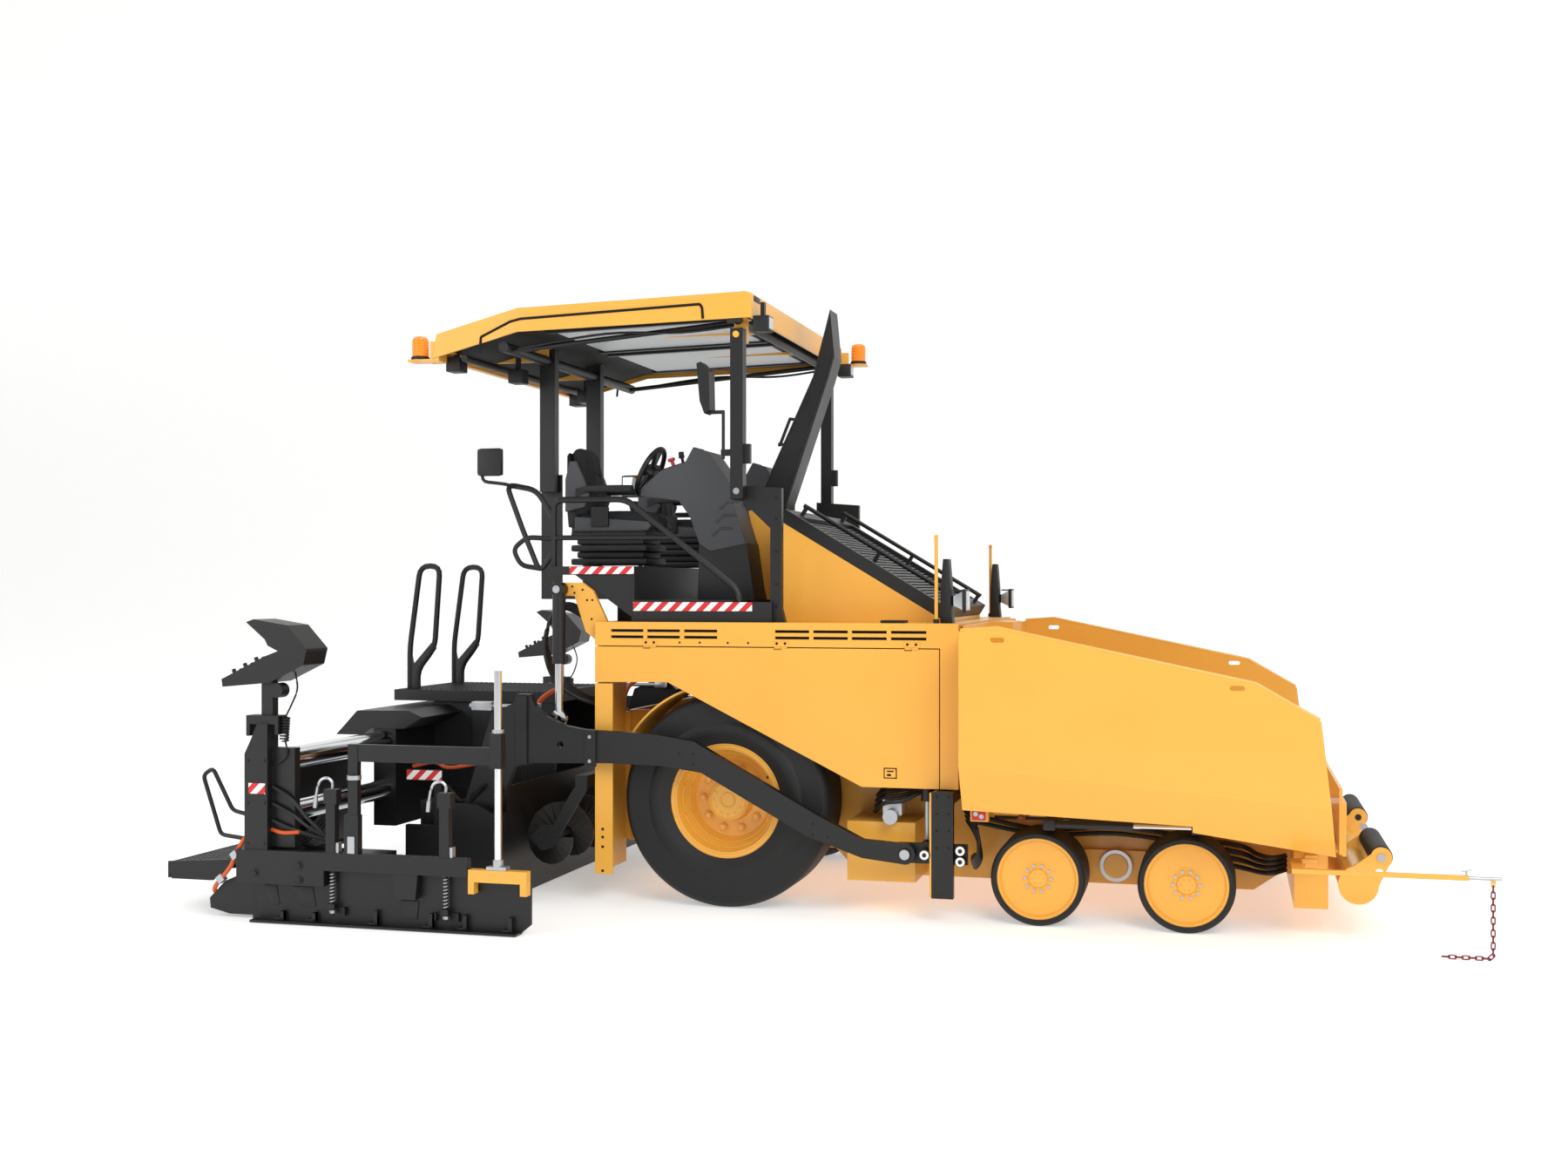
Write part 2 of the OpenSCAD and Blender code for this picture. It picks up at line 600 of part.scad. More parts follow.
// One ear of a knuckle around its kingpin.
module hull_free_ear(x, z) {
    rod_z(x, kingpin_y, 45, z, z + 35);
    block([x - 45, kingpin_y, z], [x + 45, kingpin_y + 60, z + 35]);
}

// Solid front tyre at a place along X.
module front_tyre(x) color(rubber) turned(x, front_wheel_r, [[front_disc_r + run_gap, front_inner],
    [front_wheel_r - 14, front_inner], [front_wheel_r, front_inner + 16], [front_wheel_r, side - 16],
    [front_wheel_r - 14, side], [front_disc_r + run_gap, side]]);

// Steel disc of a front wheel with its ring of nuts, at a place along X.
module front_disc(x) color(yellow) {
    bore = stub_r + run_gap;
    turned(x, front_wheel_r, [[bore, front_inner + 12], [bore, side - 58], [0, side - 58], [0, side - 20],
        [50, side - 20],
        [58, side - 30], [105, side - 34], [front_disc_r - 25, side - 26], [front_disc_r - 14, side - 6],
        [front_disc_r, side - 6], [front_disc_r, front_inner + 10], [front_disc_r - 18, front_inner + 10],
        [front_disc_r - 22, side - 60], [90, side - 70], [80, front_inner + 12]]);
    for (a = [0:36:324]) translate([x, 0, front_wheel_r]) rotate([0, a, 0]) translate([76, side - 36, 0])
        rotate([-90, 0, 0]) cylinder(r = 10, h = 16, $fn = 6);
}

// Hopper wing: a floor up to the creased outer skin, which runs down to the front and ends in a skirt.
module wing() color(yellow) difference() {
    union() {
        intersection() {
            slanted([[1352, 475], [wing_half, wing_crease], [wing_half, 2000], [wing_half - wing_t, 2000],
                [wing_half - wing_t, wing_crease + 5], [1332, 475]], hopper_rear, wing_front, wing_drop);
            across([[hopper_rear, 694], [wing_step, 651], [wing_step, 614], [wing_front, 504],
                [wing_front - 85, 1254],
                [wing_front - 424, 1450], [hopper_rear + 218, 1745], [hopper_rear, 1729]], 0, 2000);
        }
        intersection() {
            along([[wing_pivot_y - 20, wing_pivot_z - 10], [1640, 718], [1640, 740], [wing_pivot_y - 20,
                wing_pivot_z + 10]],
                hopper_rear, wing_front - 25);
            slanted([[400, 475], [1350, 475], [wing_half - 2, wing_crease], [wing_half - 2, 2000], [400, 2000]],
                hopper_rear, wing_front, wing_drop);
        }
    }
    for (p = [[hopper_rear + 181, 1681], [wing_front - 563, 1428]]) wing_slot(p[0], p[1]);
    for (x = wing_lugs) block([x - 8, 500, 560], [x + 38, wing_pivot_y + 75, 680]);
}

// Lashing slot with round ends through a wing's wall.
module wing_slot(x, z) {
    block([x + 14, 1500, z - 14], [x + 66, 1700, z + 14]);
    for (end = [x + 14, x + 66]) rod_y(end, z, 14, 1500, 1700);
}

// Back plate of a wing, in the wing's own outline.
module wing_back() along([[wing_pivot_y + 120, 625], [1480, 710], [wing_half - 5, wing_crease],
    [wing_half - 5, 1729],
    [1100, 1729], [wing_pivot_y + 120, 900]], hopper_rear, hopper_rear + wing_t);

// Pivot tube of a wing.
module wing_tube() rod_x(wing_pivot_y, wing_pivot_z, 30, hopper_rear + 40, frame_front - 24);

// A whole wing.
module whole_wing() color(yellow) {
    wing();
    wing_back();
    wing_tube();
}

// Front apron of the hopper with its rubber lip.
module apron() color(yellow) {
    difference() {
        union() {
            block([apron_x, -1280, apron_z - 10], [apron_x + 18, 1280, 860]);
            block([apron_x + 17, -1280, apron_z - 20], [apron_x + 40, 1280, 780]);
        }
        for (y = apron_lugs) block([apron_x - 10, y - 12, apron_z - 40], [apron_x + 60, y + 42, apron_z + 48]);
    }
    rod_y(apron_x, apron_z, 14, -1200, 1200);
}

// Push roller with its axle ends.
module push_roller() color(rubber) {
    rod_y(roller_x, push_roller_z, push_roller_r, 476, 1226);
    rod_y(roller_x, push_roller_z, pin_r, 450, 1254);
}

// Tow point carriages: plate, guide rollers, tow pin and cylinder rod.
module tow_blocks() color(black) both() {
    block([1110, arm_in - 35, 345], [1520, arm_in - 6, 465]);
    for (p = [[1274, tow_pin_z], [1486, tow_pin_z - 32], [1486, tow_pin_z + 32]])
        rod_y(p[0], p[1], p[0] > 1400 ? 30 : 34, arm_in - 10, arm_in + 55);
    rod_y(tow_pin_x, tow_pin_z, 35, arm_in - 10, arm_out + 12);
    block([1235, 1120, 420], [1285, arm_in - 30, 460]);
    rod_z(1260, 1150, 18, 440, 1000);
}

// Tow arms with the goosenecks that carry the screed.
module tow_arms() color(black) both() {
    difference() {
        union() {
            across([[tow_pin_x, tow_pin_z - 60], [tow_pin_x, tow_pin_z + 60], [905, 481], [620, 620],
                [-149, 1040], [-400, 1078],
                [-709, 1090], [-863, 1097], [-990, 1118], [-1118, 1175], [-1193, 1240], [-1220, 1311],
                    [-1311, 1311],
                [-1340, 1250], [-1480, 1190], [-1640, 700], [-1740, 400], [-1500, 400], [-1330, 850],
                    [-1203, 880], [-709, 893], [-350, 885],
                [-100, 850], [560, 490], [899, 373]], arm_in, arm_out);
            rod_y(tow_pin_x, tow_pin_z, 60, arm_in, arm_out);
            for (x = [-853, -1311]) block([x, arm_out - 1, 870], [x + 74, arm_out + 16,
                x < -1000 ? 1300 : 1092]);
        }
        rod_y(tow_pin_x, tow_pin_z, 35 + run_gap, arm_in - 5, arm_out + 5);
        rod_y(-1020, 1000, 22, arm_in - 5, arm_out + 5);
    }
}

// Main screed: plate box, mouldboard, walkway, sleeve housing with its cover and the grab loops.
module screed_frame() color(black) {
    difference() {
        union() {
            block([-2030, -screed_half, 0], [-1420, screed_half, 400]);
            block([-1425, -screed_half, 110], [-1400, screed_half, 720]);
            both() across([[-2030, 399], [-1420, 399], [-1420, 560], [-1540, 620], [-1700, 620], [-1800,
                480], [-2030, 480]], 1400, screed_half);
            both() block([-2030, 440, 399], [-1420, 470, 1240]);
            block([-2614, -480, 1195], [-1420, 480, 1270]);
            block([-2490, -1000, 400], [-2330, 1000, 1050]);
            across([[-2757, 1000], [-2698, 1060], [-2603, 1160], [-2230, 1167], [-2126, 1123], [-2264,
                1045], [-2500, 1045],
                [-2560, 1000]], -1020, 1020);
            both() block([-2340, 300, 600], [-2020, 420, 1240]);
            both() block([-1460, 900, 650], [-1420, 940, 1100]);
            both() block([-1700, 900, 399], [-1640, 1000, 820]);
        }
        for (z = [[tube_z, tube_r], [tube_low_z, tube_low_r]]) {
            rod_y(tube_x, z[0], z[1] + run_gap, -1100, 650);
            rod_y(tube_x, z[0] - tube_step, z[1] + run_gap, -650, 1100);
        }
        both() block([-1430, arm_in - 6, 560], [-1395, arm_out + 6, 730]);
    }
    both() across([[-2568, 1265], [-2482, 1265], [-2482, 1392], [-2358, 1556], [-2392, 1592], [-2530,
        1440], [-2550, 1530]],
        340, 360);
    both() tube(route([[-2560, 350, 1265], [-2560, 350, 1560], [-2480, 350, 2130], [-2330, 350, 2130],
        [-2370, 350, 1560],
        [-2500, 350, 1400], [-2500, 350, 1265]], 70, 4), 20);
}

// Barrels of the screed lift cylinders on their top pins.
module lift_barrels() color(black) both() {
    rod_y(lift_x, lift_top, 30, 1155, lift_y + lift_r);
    difference() {
        union() {
            rod_z(lift_x, lift_y, lift_r, 1500, lift_top);
            rod_y(lift_x, lift_top, 45, lift_y - 40, lift_y + 40);
        }
        rod_z(lift_x, lift_y, 25 + run_gap, 1490, 1920);
    }
}

// Rods of the screed lift cylinders with their eyes.
module lift_rods() color(steel) both() {
    rod_z(lift_x, lift_y, 25, 1200, 1600);
    difference() {
        rod_y(lift_x, lift_eye, 52, lift_y - 20, lift_y + 20);
        rod_y(lift_x, lift_eye, pin_r + run_gap, lift_y - 45, lift_y + 45);
    }
}

// Screed extension: plate box with its rear cover, side beam with its posts, tower, control box, grab loop and footplate.
module extension() color(black) {
    block([-2640, 1530, 0], [-2045, plate_in - 25, 330]);
    block([-2480, 2100, 320], [-2340, plate_in - 25, tube_low_z - tube_step - tube_low_r - 5]);
    block([-2480, 2180, 320], [-2340, plate_in - 25, 445]);
    across([[-2639, 20], [-2639, 250], [-2720, 262], [-2830, 215], [-2935, 110], [-2930, 50], [-2800, 20]],
        1530, plate_in - 30);
    block([-2682, beam_in, 325], [-1195, beam_out, 430]);
    block([-2682, beam_in, 232], [-2105, beam_out, 330]);
    across([[-2633, 429], [-2633, 995], [-2590, 1081], [-2550, 1176], [-2481, 1176], [-2481, 429]], 2180,
        beam_out - 10);
    block([-2490, 2180, 440], [-2335, 2240, 1030]);
    block([-2628, 2190, 1100], [-2605, 2290, 1222]);
    block([-2628, 2190, 1170], [-2415, 2290, 1222]);
    block([-2438, 2190, 1110], [-2415, 2290, 1222]);
    block([-2541, 2205, 1221], [-2466, 2265, 1440]);
    rod_y(-2440, 1370, 44, 2195, 2275);
    across([[-2787, 1388], [-2794, 1434], [-2506, 1572], [-2410, 1607], [-2229, 1609], [-2250, 1523],
        [-2474, 1416]], 2050, 2290);
    difference() {
        across([[-2629, 1774], [-2581, 1791], [-2357, 1756], [-2229, 1618], [-2229, 1600], [-2410, 1600],
            [-2485, 1635],
            [-2506, 1673]], 2050, 2290);
        across([[-2640, 1764], [-2581, 1783], [-2362, 1748], [-2241, 1618], [-2241, 1611], [-2700, 1611]],
            2058, 2282);
    }
    tube(route([[-2620, 2235, 476], [-2833, 2235, 500], [-2953, 2235, 852], [-2887, 2235, 896], [-2752,
        2235, 647],
        [-2620, 2235, 620]], 30, 4), 13);
    for (x = gate_rods) {
        rod_z(x, rod_line, 10, 60, 340);
        block([x - 30, beam_in + 3, 429], [x + 30, beam_out - 3, 716]);
        block([x - 42, beam_in - 5, 715], [x + 42, beam_out, 800]);
    }
    block([-1975, beam_in, 429], [-1885, beam_out - 3, 655]);
    block([-1953, beam_in + 3, 654], [-1891, beam_out - 8, 1066]);
    block([-1900, beam_in + 8, 966], [-1050, beam_out - 12, 1066]);
    difference() {
        block([grade_x - 38, post_y - 32, 949], [grade_x + 32, post_y + 32, 1150]);
        rod_z(grade_x, post_y, grade_r + run_gap, 900, 1200);
    }
    across([[-1666, 330], [-1508, 330], [-1522, 178], [-1648, 178]], beam_in + 3, beam_out - 8);
    for (y = [1500, 1940]) across([[-2630, 180], [-2630, 300], [-2830, 300], [-2900, 290], [-2900, 240]],
        y, y + 30);
    block([-rear_reach, 1200, 275], [-2830, 2100, 295]);
    for (y = [1200, 2085]) across([[-rear_reach, 275], [-rear_reach + 25, 195], [-2980, 195], [-2830, 290],
        [-2830, 330],
        [-rear_reach, 300]], y, y + 15);
    block([-rear_reach, 1200, 200], [-rear_reach + 15, 2100, 290]);
}

// Sliding tubes of an extension, whose two sides run at different heights, and the post for grade control.
module screed_tubes(drop) color(steel) {
    rod_y(tube_x, tube_z - drop, tube_r, 150, 2180);
    rod_y(tube_x, tube_low_z - drop, tube_low_r, 150, 2180);
    rod_z(grade_x, post_y, grade_r, 371, 1505);
}

// Arched bracket at the foot of the post for grade control.
module grade_bracket() color(yellow) across([[-1187, 232], [-1187, 371], [-828, 371], [-828, 232], [-868,
    232], [-868, 300],
    [-1150, 300], [-1150, 232]], beam_in, gate_face - 2);

// End gate with its runner, lugs on the guide rods, hooks and a stiffener.
module end_gate() color(black) {
    across([[-2578, 2], [-900, 2], [-830, 60], [-830, 320], [-2320, 320], [-2320, 226], [-2578, 226]],
        plate_in, plate_out);
    difference() {
        union() {
            block([-2590, plate_in - 10, 2], [-895, gate_face, 16]);
            for (x = gate_rods) block([x - 22, plate_out - 1, 100], [x + 22, gate_face - 15, 130]);
        }
        for (x = gate_rods) rod_z(x, rod_line, 10 + run_gap, 90, 140);
        for (x = gate_rods) rod_z(x, rod_line, 16, 0, 30);
    }
    for (x = [-2400, -2190, -1790, -1440, -1225, -945]) block([x - 12, plate_out - 1, 10], [x + 12,
        plate_out + 30, 68]);
    across([[-1644, 164], [-1526, 164], [-1538, 60], [-1629, 60]], plate_out - 1, beam_in - 3);
}

// Auger: shaft with a helical flight.
module auger() color(steel) {
    turns = 3;
    steps = 20;
    length = 1090;
    first = 90;
    n = turns * steps;
    rod_y(auger_x, auger_z, pin_r, 10, 1245);
    translate([auger_x, 60, auger_z]) rotate([-90, 0, 0]) cylinder(r = 38, h = 1160, $fn = 12);
    points = [for (i = [0:n]) let(a = 360 * i / steps, y = first + length * i / n)
        each [for (q = [[30, 0], [auger_r, 0], [auger_r, 14], [30, 14]])
            [auger_x + q[0] * cos(a), y + q[1], auger_z + q[0] * sin(a)]]];
    walls = [for (i = [0:n - 1], k = [0:3]) let(a = 4 * i + k, b = 4 * i + (k + 1) % 4)
        each [[a, b + 4, b], [a, a + 4, b + 4]]];
    caps = [[0, 1, 2, 3], [4 * n + 3, 4 * n + 2, 4 * n + 1, 4 * n]];
    polyhedron(points, concat(walls, caps));
}

// Front posts of the canopy, from the fold pivots up to the roof, and a mirror on the right one.
module canopy_front_posts() color(black) {
    both() {
        difference() {
            block([post_x - 40, 1155, fold_z - 45], [post_x + 40, 1235, fold_z + fold_link + 40]);
            rod_y(post_x, fold_z + fold_link, pin_r + run_gap, 1150, 1240);
        }
        rod_y(post_x, fold_z, 29, 1095, 1165);
        block([post_x + 39, 1175, fold_z + 170], [post_x + 80, 1215, fold_z + 290]);
    }
    mirror([0, 1, 0]) {
        block([post_x - 110, 1180, fold_z + 220], [post_x - 39, 1200, fold_z + 260]);
        rod_z(post_x - 97, 1190, 10, fold_z + 200, fold_z + 500);
        block([post_x - 200, 1182, fold_z + 480], [post_x - 90, 1198, fold_z + 502]);
        across([[post_x - 255, fold_z + 790], [post_x - 230, fold_z + 800], [post_x - 175, fold_z + 740],
            [post_x - 170, fold_z + 500],
            [post_x - 205, fold_z + 480], [post_x - 235, fold_z + 560]], 1120, 1240);
    }
}

// Rear posts of the canopy.
module canopy_rear_posts() color(black) both() {
    difference() {
        union() {
            block([rear_post_x - 55, 395, rear_fold_z - 50], [rear_post_x + 55, 465,
                rear_fold_z + fold_link - 40]);
            rod_y(rear_post_x, rear_fold_z + fold_link, 40, 395, 465);
            block([rear_post_x - 40, 395, rear_fold_z + fold_link - 50], [rear_post_x + 40, 465,
                rear_fold_z + fold_link]);
        }
        rod_y(rear_post_x, rear_fold_z + fold_link, pin_r + 1, 390, 470);
    }
    rod_y(rear_post_x, rear_fold_z, pin_r, 370, 400);
}

// Roof with its turned-down edge and the frame under it.
module canopy_roof() color(yellow) {
    pivot_z = fold_z + fold_link;
    difference() {
        across([[190, roof_z - 12], [150, roof_z], [-1353, roof_z - 40], [-1911, roof_z - 185], [-1940,
            roof_z - 340],
            [-1353, roof_z - 190], [190, roof_z - 160]], -roof_half, roof_half);
        across([[190 - roof_t, roof_z - roof_t - 12], [150, roof_z - roof_t], [-1353, roof_z - 40 - roof_t],
            [-1911 + roof_t, roof_z - 185 - roof_t], [-1925, roof_z - 390], [-1353, roof_z - 290],
                [190 - roof_t, roof_z - 290]],
            roof_t - roof_half, roof_half - roof_t);
    }
    both() block([post_x - 60, 1100, pivot_z + 98], [post_x + 60, roof_half - 5, roof_z - roof_t + 1]);
    both() rod_y(post_x, pivot_z, pin_r, 1100, 1250);
    both() block([post_x - 40, 1100, pivot_z - 40], [post_x + 40, 1145, roof_z - roof_t]);
    both() block([rear_post_x - 40, 470, rear_fold_z + fold_link - 40], [rear_post_x + 40, 490, roof_z - 90]);
    both() rod_y(rear_post_x, rear_fold_z + fold_link, pin_r, 390, 480);
    both() block([rear_post_x - 30, 485, roof_z - 150], [post_x - 30, 515, roof_z - 110]);
    both() block([-1880, 480, roof_z - 280], [rear_post_x + 20, 500, roof_z - 190]);
    for (x = [-1260, -620, 20]) block([x, 5 - roof_half, roof_z - 112], [x + 50, roof_half - 5, roof_z - 76]);
    block([-1880, 5 - roof_half, roof_z - 300], [-1850, roof_half - 5, roof_z - 200]);
    block([-2120, -1240, roof_z - 355], [-1900, -1120, roof_z - 340]);
    block([-1960, -1240, roof_z - 355], [-1900, -1120, roof_z - 230]);
    block([150, 1120, roof_z - 158], [395, 1240, roof_z - 145]);
}

// Amber beacons on the roof's corners.
module canopy_lights() color("#e8861c") {
    translate([-2058, -1180, roof_z - 340]) cylinder(r = 60, h = 160);
    translate([333, 1180, roof_z - 145]) cylinder(r = 60, h = 160);
}

place() chassis();
place() axles();
place() engine_block();
place() body_shell();
place() hood();
place() hood_grille();
place() vent_stack();
place() platform();
place() handrails();
place() seats();
place() consoles();
place() deck_lamps();
place() tow_guides();
place() auger_frame();
place() conveyor();
place() pusher_frame();
place() guide_bar();
place() guide_chain();
place() side_door();  // side_door_left
place() mirror([0, 1, 0]) side_door();  // side_door_right
place() drive_tyre();  // drive_tyre_left
place() mirror([0, 1, 0]) drive_tyre();  // drive_tyre_right
place() drive_rim();  // drive_rim_left
place() mirror([0, 1, 0]) drive_rim();  // drive_rim_right
place() knuckle(lead_x);  // knuckle_fl
place() mirror([0, 1, 0]) knuckle(lead_x);  // knuckle_fr
place() knuckle(trail_x);  // knuckle_rl
place() mirror([0, 1, 0]) knuckle(trail_x);  // knuckle_rr
place() front_tyre(lead_x);  // front_tyre_fl
place() mirror([0, 1, 0]) front_tyre(lead_x);  // front_tyre_fr
place() front_tyre(trail_x);  // front_tyre_rl
place() mirror([0, 1, 0]) front_tyre(trail_x);  // front_tyre_rr
place() front_disc(lead_x);  // front_disc_fl
place() mirror([0, 1, 0]) front_disc(lead_x);  // front_disc_fr
place() front_disc(trail_x);  // front_disc_rl
place() mirror([0, 1, 0]) front_disc(trail_x);  // front_disc_rr
place() whole_wing();  // wing_left
place() mirror([0, 1, 0]) whole_wing();  // wing_right
place() apron();
place() push_roller();  // push_roller_left
place() mirror([0, 1, 0]) push_roller();  // push_roller_right
place() tow_blocks();
place() tow_arms();
place() screed_frame();
place() lift_barrels();
place() lift_rods();
place() extension();  // extension_left
place() mirror([0, 1, 0]) extension();  // extension_right
place() screed_tubes(tube_step);  // screed_tubes_left
place() mirror([0, 1, 0]) screed_tubes(0);  // screed_tubes_right
place() grade_bracket();  // grade_bracket_left
place() mirror([0, 1, 0]) grade_bracket();  // grade_bracket_right
place() end_gate();  // end_gate_left
place() mirror([0, 1, 0]) end_gate();  // end_gate_right
place() auger();  // auger_left
place() mirror([0, 1, 0]) auger();  // auger_right
place() canopy_front_posts();
place() canopy_rear_posts();
place() canopy_roof();
place() canopy_lights();
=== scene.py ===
"""Looks of a wheeled asphalt paver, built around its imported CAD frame.

Places are metres in the machine's own measure: X from the drive axle, Y to its left, Z from the ground.
"""

import json
import logging
import math
from collections.abc import Iterable, Sequence
from dataclasses import dataclass, field
from enum import Enum

import bmesh
import bpy
from mathutils import Matrix, Vector


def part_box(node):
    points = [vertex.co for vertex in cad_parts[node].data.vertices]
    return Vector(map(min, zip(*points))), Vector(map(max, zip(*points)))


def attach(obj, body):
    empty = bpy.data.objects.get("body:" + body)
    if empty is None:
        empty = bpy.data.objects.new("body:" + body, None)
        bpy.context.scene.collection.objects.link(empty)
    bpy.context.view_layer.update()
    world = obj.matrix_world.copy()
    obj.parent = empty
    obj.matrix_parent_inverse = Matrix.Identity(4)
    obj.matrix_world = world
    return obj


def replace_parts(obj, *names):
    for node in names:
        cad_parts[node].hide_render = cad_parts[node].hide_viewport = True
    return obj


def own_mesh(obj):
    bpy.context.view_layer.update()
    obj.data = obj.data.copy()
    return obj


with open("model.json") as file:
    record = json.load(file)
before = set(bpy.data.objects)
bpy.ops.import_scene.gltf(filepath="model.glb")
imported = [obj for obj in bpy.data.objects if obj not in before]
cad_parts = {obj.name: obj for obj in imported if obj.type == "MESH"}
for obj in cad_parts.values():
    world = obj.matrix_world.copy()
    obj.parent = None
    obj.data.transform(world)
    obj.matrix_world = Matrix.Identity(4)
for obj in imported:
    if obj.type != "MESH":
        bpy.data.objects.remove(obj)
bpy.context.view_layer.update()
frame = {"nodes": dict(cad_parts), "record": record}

LOG = logging.getLogger("paver")
SIDES = (-1, 1)
NAMED_SIDES = ((-1, "right"), (1, "left"))
Point = Sequence[float]


def middle(node: str) -> Vector:
    """Returns the middle of a CAD node's box in the row frame."""
    low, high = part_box(node)
    return (low + high) / 2


AXLE = Vector((middle("drive_rim_right").x, 0, 0))


def linear(code: str) -> tuple[float, float, float, float]:
    """Turns an sRGB hex colour into linear values.

    Args:
        code: Six hex digits with a leading hash.

    Returns:
        Linear red, green and blue, and an alpha of one.
    """
    parts = [int(code[i : i + 2], 16) / 255 for i in (1, 3, 5)]
    line = [c / 12.92 if c <= 0.04045 else ((c + 0.055) / 1.055) ** 2.4 for c in parts]
    return (*line, 1.0)


def add(tree: bpy.types.NodeTree, kind: str, inputs: dict | None = None, **settings) -> bpy.types.Node:
    """Adds a node, sets its properties and fills or links its inputs.

    Args:
        tree: The node tree that it goes into.
        kind: The node's type name.
        inputs: Values, or sockets to link, by input name or index.
        settings: Properties of the node itself.

    Returns:
        The new node.
    """
    node = tree.nodes.new(kind)
    for key, value in settings.items():
        setattr(node, key, value)
    for key, value in (inputs or {}).items():
        if isinstance(value, bpy.types.NodeSocket):
            tree.links.new(value, node.inputs[key])
        else:
            node.inputs[key].default_value = value
    return node


class Surface(Enum):
    """The fine structure of a finish."""

    SMOOTH = "smooth"
    PAINT = "paint"
    GRAIN = "grain"
    BRUSHED = "brushed"
    STRIPES = "stripes"
    RIBS = "ribs"


@dataclass(frozen=True)
class Finish:
    """One real material: its material slot, colours and shine, and its pattern's sizes in millimetres."""

    name: str
    slot: str
    colour: str
    roughness: float
    metallic: float = 0.0
    surface: Surface = Surface.SMOOTH
    pattern_mm: float = 4.0
    depth_mm: float = 0.15
    second: str = "#ffffff"
    coat: float = 0.0
    edge_mm: float = 0.0
    glow: float = 0.0
    transmission: float = 0.0

    def material(self) -> bpy.types.Material:
        """Returns this finish as a material, made on first use."""
        made = bpy.data.materials.get(self.name)
        return made or self._build()

    def _build(self) -> bpy.types.Material:
        """Makes the material's nodes.

        Returns:
            The new material.
        """
        material = bpy.data.materials.new(self.name)
        material.use_nodes = True
        tree = material.node_tree
        tree.nodes.clear()
        where = add(tree, "ShaderNodeTexCoord").outputs["Object"]
        shader = add(tree, "ShaderNodeBsdfPrincipled", {
            "Base Color": linear(self.colour),
            "Roughness": self.roughness,
            "Metallic": self.metallic,
            "Coat Weight": self.coat,
            "Coat Roughness": 0.08,
            "Transmission Weight": self.transmission,
        })
        if self.glow:
            shader.inputs["Emission Color"].default_value = linear(self.colour)
            shader.inputs["Emission Strength"].default_value = self.glow
        self._pattern(tree, where, shader)
        output = add(tree, "ShaderNodeOutputMaterial")
        tree.links.new(shader.outputs["BSDF"], output.inputs["Surface"])
        material.diffuse_color = linear(self.colour)
        return material

    def _pattern(self, tree: bpy.types.NodeTree, where: bpy.types.NodeSocket, shader: bpy.types.Node) -> None:
        """Adds the colour pattern, the bump and the soft edges that this finish has.

        Args:
            tree: The material's nodes.
            where: The socket with the place on the piece.
            shader: The node that they feed.
        """
        normal = None
        if self.edge_mm:
            normal = add(tree, "ShaderNodeBevel", {"Radius": self.edge_mm / 1000}, samples=4).outputs["Normal"]
        scale = 1000 / self.pattern_mm
        height = None
        if self.surface in (Surface.PAINT, Surface.GRAIN):
            height = add(tree, "ShaderNodeTexNoise", {"Vector": where, "Scale": scale, "Detail": 2.0}).outputs["Fac"]
            cloud = add(tree, "ShaderNodeTexNoise", {"Vector": where, "Scale": 2.2, "Detail": 3.0}).outputs["Fac"]
            shine = add(tree, "ShaderNodeMapRange", {
                "Value": cloud,
                "To Min": self.roughness * 0.85,
                "To Max": min(1.0, self.roughness * 1.2),
            })
            tree.links.new(shine.outputs["Result"], shader.inputs["Roughness"])
            pale, dark = ([c * k for c in linear(self.colour)[:3]] + [1.0] for k in (1.05, 0.94))
            tone = add(tree, "ShaderNodeMix", {0: cloud, 6: dark, 7: pale}, data_type="RGBA")
            tree.links.new(tone.outputs[2], shader.inputs["Base Color"])
        elif self.surface is Surface.BRUSHED:
            drawn = add(tree, "ShaderNodeMapping", {"Vector": where, "Scale": (1.0, 0.03, 1.0)}).outputs["Vector"]
            height = add(tree, "ShaderNodeTexNoise", {"Vector": drawn, "Scale": scale, "Detail": 2.0}).outputs["Fac"]
        elif self.surface is Surface.RIBS:
            height = add(tree, "ShaderNodeTexWave", {"Vector": where, "Scale": scale / 20, "Distortion": 0.0},
                         bands_direction="Z").outputs["Fac"]
        elif self.surface is Surface.STRIPES:
            parts = add(tree, "ShaderNodeSeparateXYZ", {"Vector": where})
            lean = add(tree, "ShaderNodeMath", {0: parts.outputs["X"], 1: parts.outputs["Z"]}, operation="SUBTRACT")
            count = add(tree, "ShaderNodeMath", {0: lean.outputs[0], 1: scale}, operation="MULTIPLY")
            phase = add(tree, "ShaderNodeMath", {0: count.outputs[0]}, operation="FRACT")
            band = add(tree, "ShaderNodeMath", {0: phase.outputs[0], 1: 0.5}, operation="GREATER_THAN")
            mix = add(tree, "ShaderNodeMix", {0: band.outputs[0], 6: linear(self.colour), 7: linear(self.second)},
                      data_type="RGBA")
            tree.links.new(mix.outputs[2], shader.inputs["Base Color"])
        if height is not None:
            bump = add(tree, "ShaderNodeBump", {"Height": height, "Distance": self.depth_mm / 1000, "Strength": 1.0})
            if normal is not None:
                tree.links.new(normal, bump.inputs["Normal"])
            normal = bump.outputs["Normal"]
        if normal is not None:
            tree.links.new(normal, shader.inputs["Normal"])


